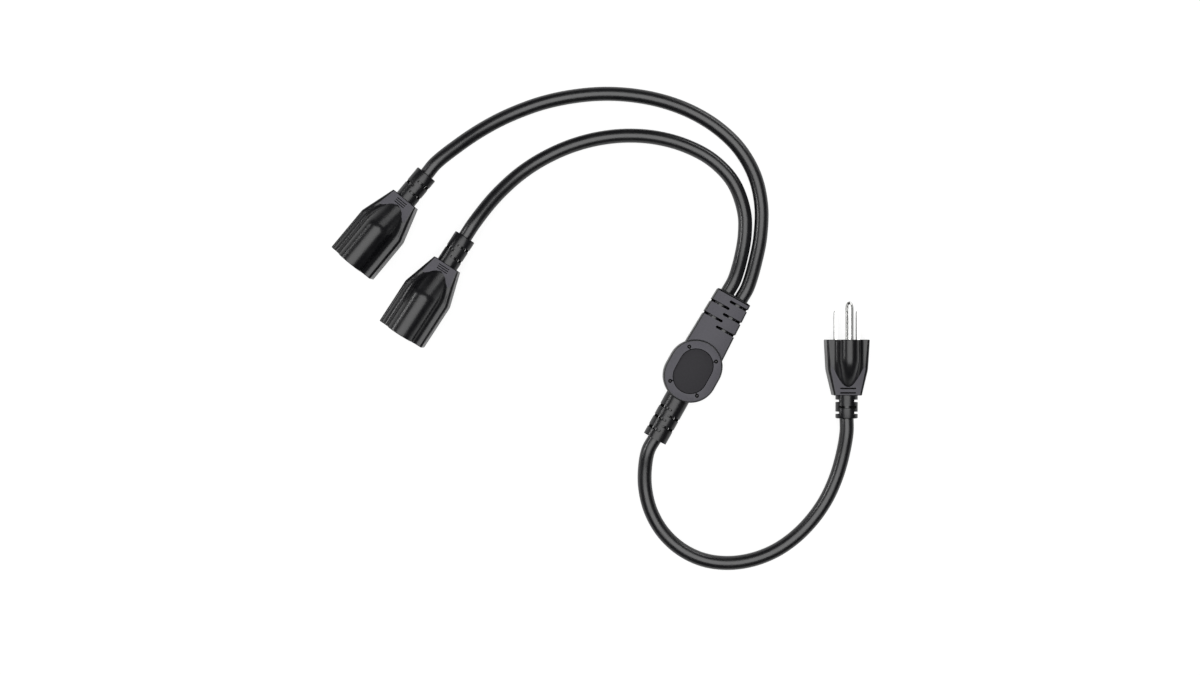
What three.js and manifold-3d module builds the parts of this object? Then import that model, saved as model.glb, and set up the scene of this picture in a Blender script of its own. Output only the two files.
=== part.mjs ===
// Power cord splitter: one grounded plug feeds two grounded receptacles through a moulded hub.
// Millimetres, +Z up. It lies on a table at z = 0, with the domes of the plug and the receptacles up.
// Each moulded piece is built in its own frame: x runs along its cord, y across it and z up from the table.
import * as THREE from "three";
import { mergeVertices } from "three/addons/utils/BufferGeometryUtils.js";
import Module from "manifold-3d";

const wasm = await Module();
wasm.setup();

// Fits and facets
const FIT = 0.3; // gap between two pieces that touch or fit
const OVERLAP = 1; // how far a cut or a joined part runs past the face that it starts from
const ROUND_SIDES = 20; // sides of a round bore, sleeve or pin
const ARC_STEPS = 8; // chords of a half round
const CORNER_STEPS = 3; // chords of a rounded corner

// Cords and leads
const CORD_DIAMETER = 8;
const CORD_SIDES = 10;
const CORD_STEP = 2 * CORD_DIAMETER;
const CORD_SEAT = 3; // how far a cord reaches into the body in front of its strain relief
const LEAD_DIAMETER = 2.4;
const LEAD_SIDES = 8;
const LEAD_STEPS = 6;
const LEAD_STRAIGHT = 2; // straight stretch at each end of a lead
const LEAD_RING = 1.6; // from the middle of a cord to the middle of a lead where it leaves the jacket

// Strain reliefs
const RELIEF_DIAMETER = 12.6;
const RELIEF_SLOT = 1.5;
const SLOT_PAST_TOP = 0.5; // how far a half-round slot runs past the middle
const SLOT_WEB = 2; // height of the web that bridges a slot at its outer end
const SLOT_SETBACK = 0.4; // of the web from the outside

// The three-pole pattern that the prongs and the contacts share
const POLE_SPACING = 12.7;
const GROUND_RISE = 11.89;
const BLADE_THICKNESS = 1.5;
const BLADE_HEIGHT = 6.35;
const PIN_DIAMETER = 4.8;
const TAIL_DIAMETER = 3; // round tail behind each prong and contact, where its lead ends

// Plug
const PLUG_LENGTH = 31.6;
const PLUG_FACE_WIDTH = 24.5;
const PLUG_WAIST_WIDTH = 22.8;
const PLUG_WAIST_AT = 17;
const PLUG_BACK_WIDTH = 15.8;
const PLUG_HEIGHT = 16; // from the table to the shoulders
const PLUG_CORNER = 2;
const PLUG_DOME_DIAMETER = 10.9;
const PLUG_DOME_FILLET = 2.5;
const PLUG_DOME_STRAIGHT = 10;
const PLUG_DOME_BEND = 0.0373; // past the straight the dome sinks by this times the distance squared
const PLUG_DOME_REACH = 28; // the sinking dome ends inside the body
const PLUG_DOME_STEPS = 6;
const PLUG_SADDLE_AT = 14.3;
const PLUG_SADDLE_FALL = 1.4;
const PLUG_RELIEF_LENGTH = 13.1;
const PLUG_SIDE_SLOTS = [3.1, 9.9]; // from the back end of the relief
const PLUG_TOP_SLOT = 6.5;
const PLUG_FRONT_WALL = 2.5;
const BRIDGE_LENGTH = 8;
const BRIDGE_WALL = 1.2;
const BLADE_LENGTH = 16.3;
const BLADE_TIP = 1.2; // length of the bevelled tip
const PIN_LENGTH = 21.6;
const PIN_TIP = 4;
const PRONG_HEEL = 1; // how far the blades and the pin run past the back of the bridge
const PLUG_TAIL_LENGTH = 3;

// Receptacles
const RECEPTACLE_LENGTH = 47;
const RECEPTACLE_WIDTH = 28.1;
const RECEPTACLE_STRAIGHT = 27;
const RECEPTACLE_BACK_WIDTH = 16;
const RECEPTACLE_HEIGHT = 17.8; // of the block between the keel and the dome
const RECEPTACLE_CORNER = 1.5;
const KEEL_WIDTH = 9.7;
const KEEL_HEIGHT = 8;
const KEEL_STRAIGHT = 26;
const KEEL_LENGTH = 41;
const RIB_WIDTH = 1.6;
const RIB_HEIGHT = 0.5;
const RIB_OFFSET = 7.8;
const DOME_DIAMETER = 15.8;
const DOME_FILLET = 4.4;
const DOME_ABOVE_GROUND = 0.6; // from the ground hole's middle to the dome's middle
const DOME_STRAIGHT = 26;
const DOME_SLOPE = 0.77; // how far the dome sinks in each millimetre past the straight
const DOME_REACH = 42; // the sinking dome ends inside the body
const SADDLE_AT = 37;
const SADDLE_FALL = 2;
const POLE_LINE_HEIGHT = 8.2; // of the slots' middle line above the block's underside
const RELIEF_LENGTH = 18.5;
const FAR_SIDE_SLOTS = [9.8]; // from the back end of the relief, on the line side
const NEAR_SIDE_SLOTS = [6.2, 13.4]; // and on the neutral side

// Cross grooves in the saddles; the inset runs from the back of the body to the middle of its last groove
const GROOVE_DEPTH = 0.5;
const PLUG_GROOVES = { count: 2, inset: 1, spacing: 2.5, width: 0.85, length: 9 };
const RECEPTACLE_GROOVES = { count: 3, inset: 2, spacing: 1.2, width: 0.5, length: 6.8 };

// Inside a receptacle
const SNOUT_DEPTH = 3; // from the face to the block of the core
const SNOUT_WIDTH = 4.8;
const LINE_SNOUT_HEIGHT = 9.8;
const NEUTRAL_SNOUT_HEIGHT = 11.5;
const GROUND_SNOUT_WIDTH = 8.4;
const GROUND_SNOUT_HEIGHT = 7.6;
const SNOUT_CORNER = 1;
const SNOUT_WALL = 2; // front wall with the hole for the blade or the pin
const CORE_RIM = 0.6; // how far the core's block stands out past its snouts
const HOLE_WIDTH = 1.9;
const LINE_HOLE_HEIGHT = 7.2;
const NEUTRAL_HOLE_HEIGHT = 8.7;
const GROUND_HOLE_WIDTH = 5.4;
const GROUND_HOLE_HEIGHT = 5.1;
const CAP_THICKNESS = 2;
const CONTACT_LENGTH = 15;
const CONTACT_WIDTH = 3.2;
const CONTACT_SHEET = 0.5;
const CONTACT_PINCH = 0.6; // half the gap between the two leaves where they grip a blade
const LINE_CONTACT_HEIGHT = 6.4;
const NEUTRAL_CONTACT_HEIGHT = 7.9;
const SOCKET_PLAY = 0.1; // round play of the pin in the ground contact
const CONTACT_TAIL_LENGTH = 5;

// Hub
const DISC_LENGTH = 36.5;
const DISC_WIDTH = 30.5;
const DISC_THICKNESS = 17;
const DISC_EDGE = 1;
const PANEL_LENGTH = 26.6;
const PANEL_WIDTH = 19.8;
const PANEL_DEPTH = 0.5;
const MARK_DIAMETER = 2.2;
const MARK_DEPTH = 0.3;
const MARK_X = 11.06;
const MARK_Y = 8.65;
const BLOCK_REACH = 48.8; // from the disc's middle to the block's end
const BLOCK_BULGE = 0.9;
const BLOCK_THICKNESS = 14;
const BLOCK_ROOT_WIDTH = 23.5;
const BLOCK_END_WIDTH = 20.7;
const BLOCK_ROOT_AT = 12.8;
const BLOCK_SLOTS_RIGHT = [28.5, 36.6, 44.6]; // from the disc's middle
const BLOCK_SLOTS_LEFT = [32.5, 40.5];
const BLOCK_SLOT_PAST = 1;
const BRANCH_SPACING = 8.7;
const BRANCH_SEAT_AT = 24; // where the branch cords end inside the block
const HUB_RELIEF_DIAMETER = 14.1;
const HUB_RELIEF_REACH = 43.5; // from the disc's middle to the relief's end
const HUB_SLOTS_RIGHT = [28.7, 35.4]; // from the disc's middle
const HUB_SLOTS_LEFT = [25.3, 32, 38.7];
const SPLICE_LENGTH = 8;
const SPLICE_WIDTH = 7;
const SPLICE_HEIGHT = 2.4;
const SPLICE_LEAD_SPACING = 3.6; // between the two branch leads that end on one splice
const TRAY_WALL = 0.8;
const TRAY_LENGTH = 10;
const HUB_LEAD_SPACING = 2.75; // between the stacked leads where they leave a cord in the hub

// Places on the table: the middle of the face, or of the disc, and the way from there along the cord
const PLUG_PLACE = { x: 139.2, y: -19.1, turn: -90 };
const HUB_PLACE = { x: 51.5, y: -36.9, turn: 60.9 };
const RECEPTACLE_PLACES = {
  outer: { x: -140.6, y: 23.8, turn: 50.3 },
  inner: { x: -112.7, y: -16.1, turn: 57 },
};

// Routes of the cords on the table, between the straight stretches at their two ends
const ON_TABLE = CORD_DIAMETER / 2 + 0.05;
const OUTER_ROUTE = [
  [-80.8, 91.1, 13.2],
  [-69.8, 99.1, 9.6],
  [-58, 106.1, 6.8],
  [-45.6, 111.8, 5],
  [-32.6, 116.3, 4.2],
  [-15.7, 119.8, ON_TABLE],
  [1.4, 121.2, ON_TABLE],
  [18.5, 120.2, ON_TABLE],
  [35.4, 116.8, ON_TABLE],
  [51.5, 110.7, ON_TABLE],
  [66.2, 101.7, ON_TABLE],
  [78.6, 89.7, ON_TABLE],
  [87.2, 74.6, ON_TABLE],
  [91, 57.6, 4.2],
  [90.5, 40.3, 4.8],
  [88, 27.3, 6.2],
];
const INNER_ROUTE = [
  [-63.3, 58.3, 13],
  [-55.5, 67, 9.8],
  [-46.4, 75.3, 7],
  [-35.1, 83.1, 5],
  [-19.6, 90.6, 4.15],
  [-3, 95.4, ON_TABLE],
  [14.1, 97.3, ON_TABLE],
  [31.3, 96.1, ON_TABLE],
  [48, 91.5, ON_TABLE],
  [63.2, 83.3, ON_TABLE],
  [75.1, 70.6, ON_TABLE],
  [81.2, 54, 4.2],
  [81.6, 41.2, 4.8],
  [79.4, 28.2, 6.2],
];
const TRUNK_ROUTE = [
  [24.6, -92.5, 6.4],
  [24.8, -104, 4.7],
  [27.9, -116.7, 4.15],
  [34.8, -128.9, ON_TABLE],
  [45.1, -138.6, ON_TABLE],
  [57.8, -144.7, ON_TABLE],
  [71.7, -146.6, ON_TABLE],
  [85.6, -144.8, ON_TABLE],
  [98.6, -139.8, ON_TABLE],
  [110.1, -132, ON_TABLE],
  [119.9, -122.1, ON_TABLE],
  [127.8, -110.7, 4.15],
  [133.5, -98.1, 4.7],
  [137.2, -84.8, 6.1],
];
const EXIT_STRAIGHT = CORD_DIAMETER; // a cord goes straight on for this length past its strain relief

const vinyl = { color: 0x1b1b1e, roughness: 0.5, metalness: 0 };
const jacket = { color: 0x141416, roughness: 0.35, metalness: 0 };
const hardPlastic = { color: 0x3a373e, roughness: 0.45, metalness: 0 };
const nickel = { color: 0xc9c7c2, roughness: 0.25, metalness: 1 };
const brass = { color: 0xc9ae72, roughness: 0.35, metalness: 1 };
const LEAD_COLOURS = { line: 0x1a1a1a, neutral: 0xe6e6e2, ground: 0x1f7a3c };

// From shapes to solids
function solid(geometry) {
  geometry.deleteAttribute("normal");
  geometry.deleteAttribute("uv");
  const merged = mergeVertices(geometry, 1e-4);
  return new wasm.Manifold(
    new wasm.Mesh({
      numProp: 3,
      vertProperties: new Float32Array(merged.attributes.position.array),
      triVerts: new Uint32Array(merged.index.array),
    }),
  );
}

function mesh(name, manifold, finish) {
  const { vertProperties, triVerts } = manifold.getMesh();
  const geometry = new THREE.BufferGeometry();
  geometry.setAttribute("position", new THREE.BufferAttribute(vertProperties, 3));
  geometry.setIndex(new THREE.BufferAttribute(triVerts, 1));
  const facets = geometry.toNonIndexed();
  facets.computeVertexNormals();
  const made = new THREE.Mesh(facets, new THREE.MeshStandardMaterial(finish));
  made.name = name;
  return made;
}

function joined(first, ...others) {
  return others.reduce((sum, other) => sum.add(other), first);
}

function without(first, ...cuts) {
  return cuts.reduce((rest, cut) => rest.subtract(cut), first);
}

function common(first, ...others) {
  return others.reduce((rest, other) => rest.intersect(other), first);
}

function arc(centre, radius, from, to, steps) {
  return Array.from({ length: steps + 1 }, (_, i) => {
    const angle = THREE.MathUtils.degToRad(from + ((to - from) * i) / steps);
    return new THREE.Vector2(centre[0] + radius * Math.cos(angle), centre[1] + radius * Math.sin(angle));
  });
}

function polygon(points) {
  return new THREE.Shape(points.map((p) => (p.isVector2 ? p : new THREE.Vector2(p[0], p[1]))));
}

function roundedBox(halfWidth, low, high, corner) {
  const side = halfWidth - corner;
  return polygon([
    ...arc([side, low + corner], corner, -90, 0, CORNER_STEPS),
    ...arc([side, high - corner], corner, 0, 90, CORNER_STEPS),
    ...arc([-side, high - corner], corner, 90, 180, CORNER_STEPS),
    ...arc([-side, low + corner], corner, 180, 270, CORNER_STEPS),
  ]);
}

function stadium(length, width) {
  const radius = width / 2;
  const middle = length / 2 - radius;
  return polygon([
    ...arc([middle, 0], radius, -90, 90, 2 * ARC_STEPS),
    ...arc([-middle, 0], radius, 90, 270, 2 * ARC_STEPS),
  ]);
}

function slab(shape, depth) {
  return new THREE.ExtrudeGeometry(shape, { depth, bevelEnabled: false });
}

const SECTION_BASIS = new THREE.Matrix4().makeBasis(
  new THREE.Vector3(0, 1, 0),
  new THREE.Vector3(0, 0, 1),
  new THREE.Vector3(1, 0, 0),
);

// A section in (y, z), run along x
function alongX(shape, from, to) {
  return solid(slab(shape, to - from).applyMatrix4(SECTION_BASIS).translate(from, 0, 0));
}

// A section in (y, z), run along x through stops of [x, how far it has sunk there]
function alongStops(shape, stops) {
  const steps = stops.length - 1;
  const run = new THREE.ExtrudeGeometry(shape, { depth: steps, steps, bevelEnabled: false });
  const place = run.applyMatrix4(SECTION_BASIS).attributes.position;
  for (let i = 0; i < place.count; i += 1) {
    const [x, sunk] = stops[Math.round(place.getX(i))];
    place.setXYZ(i, x, place.getY(i), place.getZ(i) - sunk);
  }
  return solid(run);
}

// A side view in (x, z), run across y
function acrossY(shape, halfWidth) {
  return solid(slab(shape, 2 * halfWidth).rotateX(Math.PI / 2).translate(0, halfWidth, 0));
}

// A plan in (x, y), run up z
function upZ(shape, from, to) {
  return solid(slab(shape, to - from).translate(0, 0, from));
}

function block(x, y, z) {
  const box = new THREE.BoxGeometry(x[1] - x[0], y[1] - y[0], z[1] - z[0]);
  return solid(box.translate((x[0] + x[1]) / 2, (y[0] + y[1]) / 2, (z[0] + z[1]) / 2));
}

function rod(diameter, from, to, y, z, endDiameter = diameter) {
  const round = new THREE.CylinderGeometry(endDiameter / 2, diameter / 2, to - from, ROUND_SIDES);
  return solid(round.rotateZ(-Math.PI / 2).translate((from + to) / 2, y, z));
}

// The flats of a bore lie outside its circle, so that what fits in it keeps its whole gap
function bore(diameter, from, to, y, z) {
  return rod(diameter / Math.cos(Math.PI / ROUND_SIDES), from, to, y, z);
}

function tube(path, diameter, sides, steps) {
  const section = polygon(arc([0, 0], diameter / 2, 0, 360, sides).slice(1));
  return solid(new THREE.ExtrudeGeometry(section, { steps, extrudePath: path, bevelEnabled: false }));
}

// Leads: from a tail or splice to the end of a cord, straight along x at both ends
function leadPath(from, to, past) {
  const points = [
    [from[0] - past, from[1], from[2]],
    [from[0] + LEAD_STRAIGHT, from[1], from[2]],
    [to[0] - LEAD_STRAIGHT, to[1], to[2]],
    [to[0] + past, to[1], to[2]],
  ];
  return new THREE.CatmullRomCurve3(points.map((p) => new THREE.Vector3(...p)));
}

function lead(from, to) {
  return tube(leadPath(from, to, 0), LEAD_DIAMETER, LEAD_SIDES, LEAD_STEPS);
}

function leadHole(from, to) {
  const round = (LEAD_DIAMETER + 2 * FIT) / Math.cos(Math.PI / LEAD_SIDES);
  return tube(leadPath(from, to, OVERLAP), round, LEAD_SIDES, LEAD_STEPS);
}

function leadMesh(name, pole, from, to) {
  return mesh(name, lead(from, to), { color: LEAD_COLOURS[pole], roughness: 0.5, metalness: 0 });
}

// A raised rib with a round top that runs into flat shoulders with a hollow fillet on each side
function domeSection(radius, centre, shoulder, fillet) {
  const rise = shoulder + fillet - centre;
  const side = Math.sqrt((radius + fillet) ** 2 - rise ** 2);
  const meet = THREE.MathUtils.radToDeg(Math.atan2(rise, side));
  return polygon([
    [side, shoulder - OVERLAP],
    ...arc([side, shoulder + fillet], fillet, -90, -180 + meet, ARC_STEPS / 2),
    ...arc([0, centre], radius, meet, 180 - meet, 2 * ARC_STEPS).slice(1, -1),
    ...arc([-side, shoulder + fillet], fillet, -meet, -90, ARC_STEPS / 2),
    [-side, shoulder - OVERLAP],
  ]);
}

function mirroredPlan(points) {
  return polygon([
    ...points.map(([x, halfWidth]) => [x, -halfWidth]),
    ...points.map(([x, halfWidth]) => [x, halfWidth]).reverse(),
  ]);
}

// The saddle rises from its height at the body's end by its slope in each millimetre forward
function grooves({ count, inset, spacing, width, length }, bodyLength, saddleEnd, slope) {
  return Array.from({ length: count }, (_, i) => {
    const fromEnd = inset + i * spacing;
    const middle = bodyLength - fromEnd;
    const surface = saddleEnd + fromEnd * slope;
    return block(
      [middle - width / 2, middle + width / 2],
      [-length / 2, length / 2],
      [surface - GROOVE_DEPTH, surface + OVERLAP],
    );
  });
}

// A slot with a round inner end, across one half of a strain relief: side is +1 or -1 in y. A web at
// the height of the cord's axis bridges it, set back a little from the outside.
function halfSlot(middle, side, past, axisHeight, width) {
  const reach = width / 2 + OVERLAP;
  const round = RELIEF_SLOT / 2;
  const from = side > 0 ? 180 : 0;
  const plan = polygon([
    ...arc([middle, side * (round - past)], round, from, from + 180, ARC_STEPS / 2),
    [middle + side * round, side * reach],
    [middle - side * round, side * reach],
  ]);
  const edge = [width / 2 - SLOT_SETBACK, reach];
  return joined(
    upZ(plan, axisHeight + SLOT_WEB / 2, axisHeight + reach),
    upZ(plan, axisHeight - reach, axisHeight - SLOT_WEB / 2),
    block(
      [middle - round, middle + round],
      side > 0 ? edge : [-edge[1], -edge[0]],
      [axisHeight - reach, axisHeight + reach],
    ),
  );
}

// Leads leave a cord's jacket as a triangle, ground on top
function jacketEnd(x, height) {
  const side = LEAD_RING * Math.cos(Math.PI / 6);
  return {
    line: [x, side, height - LEAD_RING / 2],
    neutral: [x, -side, height - LEAD_RING / 2],
    ground: [x, 0, height + LEAD_RING],
  };
}

const POLES = ["line", "neutral", "ground"];

function polePlaces(x, poleHeight) {
  return {
    line: [x, POLE_SPACING / 2, poleHeight],
    neutral: [x, -POLE_SPACING / 2, poleHeight],
    ground: [x, 0, poleHeight + GROUND_RISE],
  };
}

function turned(place) {
  const group = new THREE.Group();
  group.position.set(place.x, place.y, 0);
  group.rotation.z = THREE.MathUtils.degToRad(place.turn);
  return group;
}

// Plug
const PLUG_AXIS = PLUG_HEIGHT / 2; // height of the blades' middle and of the cord
const PLUG_END = PLUG_LENGTH + PLUG_RELIEF_LENGTH;
const BRIDGE_BACK = PLUG_FRONT_WALL + BRIDGE_LENGTH;
const PRONG_BACK = BRIDGE_BACK + PRONG_HEEL;
const PLUG_LEAD_START = PRONG_BACK + PLUG_TAIL_LENGTH + FIT;

function plugOutside() {
  const dome = PLUG_DOME_DIAMETER / 2;
  const domeTop = PLUG_AXIS + GROUND_RISE + dome;
  const saddleEnd = PLUG_HEIGHT - PLUG_SADDLE_FALL;
  const plan = upZ(
    mirroredPlan([
      [-OVERLAP, PLUG_FACE_WIDTH / 2],
      [0, PLUG_FACE_WIDTH / 2],
      [PLUG_WAIST_AT, PLUG_WAIST_WIDTH / 2],
      [PLUG_LENGTH, PLUG_BACK_WIDTH / 2],
    ]),
    -OVERLAP,
    domeTop + OVERLAP,
  );
  const lower = common(
    alongX(roundedBox(PLUG_FACE_WIDTH / 2, 0, PLUG_HEIGHT, PLUG_CORNER), 0, PLUG_LENGTH),
    plan,
    acrossY(
      polygon([
        [-OVERLAP, -OVERLAP],
        [PLUG_LENGTH, -OVERLAP],
        [PLUG_LENGTH, saddleEnd],
        [PLUG_SADDLE_AT, PLUG_HEIGHT],
        [PLUG_SADDLE_AT, domeTop],
        [-OVERLAP, domeTop],
      ]),
      PLUG_FACE_WIDTH,
    ),
  );
  const bend = Array.from({ length: PLUG_DOME_STEPS + 1 }, (_, i) => {
    const past = ((PLUG_DOME_REACH - PLUG_DOME_STRAIGHT) * i) / PLUG_DOME_STEPS;
    return [PLUG_DOME_STRAIGHT + past, PLUG_DOME_BEND * past ** 2];
  });
  const section = domeSection(dome, PLUG_AXIS + GROUND_RISE, PLUG_HEIGHT, PLUG_DOME_FILLET);
  const raised = common(alongStops(section, [[0, 0], ...bend]), plan);
  const relief = rod(RELIEF_DIAMETER, PLUG_LENGTH - OVERLAP, PLUG_END, 0, PLUG_AXIS);
  const slope = PLUG_SADDLE_FALL / (PLUG_LENGTH - PLUG_SADDLE_AT);
  return without(joined(lower, raised, relief), ...grooves(PLUG_GROOVES, PLUG_LENGTH, saddleEnd, slope));
}

function plugReliefSlots() {
  const out = RELIEF_DIAMETER / 2 + OVERLAP;
  const deep = CORD_DIAMETER / 2 - FIT;
  const span = (fromEnd) => [PLUG_END - fromEnd - RELIEF_SLOT / 2, PLUG_END - fromEnd + RELIEF_SLOT / 2];
  const whole = [PLUG_AXIS - out, PLUG_AXIS + out];
  return [
    ...PLUG_SIDE_SLOTS.flatMap((at) => [
      block(span(at), [deep, out], whole),
      block(span(at), [-out, -deep], whole),
    ]),
    block(span(PLUG_TOP_SLOT), [-out, out], [PLUG_AXIS + deep, PLUG_AXIS + out]),
    block(span(PLUG_TOP_SLOT), [-out, out], [PLUG_AXIS - out, PLUG_AXIS - deep]),
  ];
}

function bridgeOutside(grow) {
  const from = PLUG_FRONT_WALL - grow;
  const to = BRIDGE_BACK + grow;
  const halfWidth = (POLE_SPACING + BLADE_THICKNESS) / 2 + BRIDGE_WALL + grow;
  const halfHeight = BLADE_HEIGHT / 2 + BRIDGE_WALL + grow;
  const collar = PIN_DIAMETER / 2 + BRIDGE_WALL + grow;
  const ground = PLUG_AXIS + GROUND_RISE;
  return joined(
    block([from, to], [-halfWidth, halfWidth], [PLUG_AXIS - halfHeight, PLUG_AXIS + halfHeight]),
    block([from, to], [-collar, collar], [PLUG_AXIS, ground]),
    rod(2 * collar, from, to, 0, ground),
  );
}

function blade(side) {
  const y = (side * POLE_SPACING) / 2;
  const half = BLADE_THICKNESS / 2;
  const edge = half / 2;
  const plan = polygon([
    [-BLADE_LENGTH, -edge],
    [-BLADE_LENGTH + BLADE_TIP, -half],
    [PRONG_BACK, -half],
    [PRONG_BACK, half],
    [-BLADE_LENGTH + BLADE_TIP, half],
    [-BLADE_LENGTH, edge],
  ]);
  const strip = upZ(plan, PLUG_AXIS - BLADE_HEIGHT / 2, PLUG_AXIS + BLADE_HEIGHT / 2).translate([0, y, 0]);
  const tailEnd = PRONG_BACK + PLUG_TAIL_LENGTH;
  return strip.add(rod(TAIL_DIAMETER, PRONG_BACK - PRONG_HEEL / 2, tailEnd, y, PLUG_AXIS));
}

function pin() {
  const radius = PIN_DIAMETER / 2;
  const profile = [
    [0, -PIN_LENGTH],
    ...arc([0, 0], 1, 270, 360, CORNER_STEPS)
      .slice(1)
      .map((p) => [radius * p.x, -PIN_LENGTH + PIN_TIP * (1 + p.y)]),
    [radius, PRONG_BACK],
    [TAIL_DIAMETER / 2, PRONG_BACK],
    [TAIL_DIAMETER / 2, PRONG_BACK + PLUG_TAIL_LENGTH],
    [0, PRONG_BACK + PLUG_TAIL_LENGTH],
  ];
  const lathe = new THREE.LatheGeometry(profile.map((p) => new THREE.Vector2(...p)), ROUND_SIDES);
  return solid(lathe.rotateZ(-Math.PI / 2).translate(0, 0, PLUG_AXIS + GROUND_RISE));
}

function prongHoles(from, to, gap) {
  const half = BLADE_THICKNESS / 2 + gap;
  const high = BLADE_HEIGHT / 2 + gap;
  return joined(
    ...[1, -1].map((side) => {
      const y = (side * POLE_SPACING) / 2;
      return block([from, to], [y - half, y + half], [PLUG_AXIS - high, PLUG_AXIS + high]);
    }),
    bore(PIN_DIAMETER + 2 * gap, from, to, 0, PLUG_AXIS + GROUND_RISE),
  );
}

function plug() {
  const group = turned(PLUG_PLACE);
  const tails = polePlaces(PLUG_LEAD_START, PLUG_AXIS);
  const ends = jacketEnd(PLUG_LENGTH - CORD_SEAT - FIT, PLUG_AXIS);
  const body = without(
    plugOutside(),
    ...plugReliefSlots(),
    bridgeOutside(FIT),
    prongHoles(-OVERLAP, PRONG_BACK + FIT, FIT),
    bore(CORD_DIAMETER + 2 * FIT, PLUG_LENGTH - CORD_SEAT - FIT, PLUG_END + OVERLAP, 0, PLUG_AXIS),
    ...POLES.map((pole) => {
      const [, y, z] = tails[pole];
      return bore(TAIL_DIAMETER + 2 * FIT, PRONG_BACK - PRONG_HEEL, PLUG_LEAD_START, y, z);
    }),
    ...POLES.map((pole) => leadHole(tails[pole], ends[pole])),
  );
  const bridge = bridgeOutside(0).subtract(
    prongHoles(PLUG_FRONT_WALL - OVERLAP, BRIDGE_BACK + OVERLAP, FIT),
  );
  group.add(
    mesh("plug_body", body, vinyl),
    mesh("plug_bridge", bridge, hardPlastic),
    mesh("plug_line_blade", blade(1), nickel),
    mesh("plug_neutral_blade", blade(-1), nickel),
    mesh("plug_ground_pin", pin(), nickel),
    ...POLES.map((pole) => leadMesh(`plug_${pole}_lead`, pole, tails[pole], ends[pole])),
  );
  return group;
}

// Receptacles
const BLOCK_TOP = KEEL_HEIGHT + RECEPTACLE_HEIGHT;
const RECEPTACLE_AXIS = KEEL_HEIGHT + RECEPTACLE_HEIGHT / 2; // height of the cord where it leaves
const POLE_LINE = KEEL_HEIGHT + POLE_LINE_HEIGHT;
const RECEPTACLE_END = RECEPTACLE_LENGTH + RELIEF_LENGTH;
const CONTACT_FRONT = SNOUT_WALL + FIT;
const CONTACT_BACK = CONTACT_FRONT + CONTACT_LENGTH;
const CAP_FRONT = CONTACT_BACK + FIT;
const CAP_BACK = CAP_FRONT + CAP_THICKNESS;
const CONTACT_LEAD_START = CONTACT_BACK + CONTACT_TAIL_LENGTH + FIT;
const SOCKET_BORE = PIN_DIAMETER + 2 * SOCKET_PLAY;
const SOCKET_DIAMETER = SOCKET_BORE + 2 * CONTACT_SHEET;

function receptacleSlot(at, side) {
  return halfSlot(RECEPTACLE_END - at, side, SLOT_PAST_TOP, RECEPTACLE_AXIS, RELIEF_DIAMETER);
}

function receptacleOutside() {
  const ground = POLE_LINE + GROUND_RISE;
  const dome = DOME_DIAMETER / 2;
  const domeCentre = ground + DOME_ABOVE_GROUND;
  const domeTop = domeCentre + dome;
  const saddleEnd = BLOCK_TOP - SADDLE_FALL;
  const saddleSlope = SADDLE_FALL / (RECEPTACLE_LENGTH - SADDLE_AT);
  const keel = KEEL_WIDTH / 2;
  const plan = upZ(
    mirroredPlan([
      [-OVERLAP, RECEPTACLE_WIDTH / 2 + OVERLAP],
      [RECEPTACLE_STRAIGHT, RECEPTACLE_WIDTH / 2 + OVERLAP],
      [RECEPTACLE_STRAIGHT, RECEPTACLE_WIDTH / 2],
      [RECEPTACLE_LENGTH, RECEPTACLE_BACK_WIDTH / 2],
    ]),
    0,
    domeTop + OVERLAP,
  );
  const lower = common(
    alongX(roundedBox(RECEPTACLE_WIDTH / 2, KEEL_HEIGHT, BLOCK_TOP, RECEPTACLE_CORNER), 0, RECEPTACLE_LENGTH),
    plan,
    acrossY(
      polygon([
        [-OVERLAP, 0],
        [RECEPTACLE_LENGTH, 0],
        [RECEPTACLE_LENGTH, saddleEnd],
        [SADDLE_AT, BLOCK_TOP],
        [SADDLE_AT, domeTop],
        [-OVERLAP, domeTop],
      ]),
      RECEPTACLE_WIDTH,
    ),
  );
  const domeStops = [
    [0, 0],
    [DOME_STRAIGHT, 0],
    [DOME_REACH, DOME_SLOPE * (DOME_REACH - DOME_STRAIGHT)],
  ];
  const raised = common(alongStops(domeSection(dome, domeCentre, BLOCK_TOP, DOME_FILLET), domeStops), plan);
  const tongue = common(
    alongX(
      polygon([
        ...arc([0, keel], keel, 180, 360, ARC_STEPS),
        [keel, KEEL_HEIGHT + OVERLAP],
        [-keel, KEEL_HEIGHT + OVERLAP],
      ]),
      0,
      KEEL_LENGTH,
    ),
    acrossY(
      polygon([
        [0, -OVERLAP],
        [KEEL_STRAIGHT, -OVERLAP],
        [KEEL_STRAIGHT, 0],
        [KEEL_LENGTH, KEEL_HEIGHT],
        [KEEL_LENGTH, BLOCK_TOP],
        [0, BLOCK_TOP],
      ]),
      RECEPTACLE_WIDTH,
    ),
  );
  const ribs = [1, -1].map((side) =>
    block(
      [0, RECEPTACLE_STRAIGHT],
      [side * RIB_OFFSET - RIB_WIDTH / 2, side * RIB_OFFSET + RIB_WIDTH / 2],
      [KEEL_HEIGHT - RIB_HEIGHT, KEEL_HEIGHT + OVERLAP],
    ),
  );
  const relief = rod(RELIEF_DIAMETER, RECEPTACLE_LENGTH - OVERLAP, RECEPTACLE_END, 0, RECEPTACLE_AXIS);
  return without(
    joined(lower, raised, tongue, ...ribs, relief),
    ...grooves(RECEPTACLE_GROOVES, RECEPTACLE_LENGTH, saddleEnd, saddleSlope),
    ...FAR_SIDE_SLOTS.map((at) => receptacleSlot(at, 1)),
    ...NEAR_SIDE_SLOTS.map((at) => receptacleSlot(at, -1)),
  );
}

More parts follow.
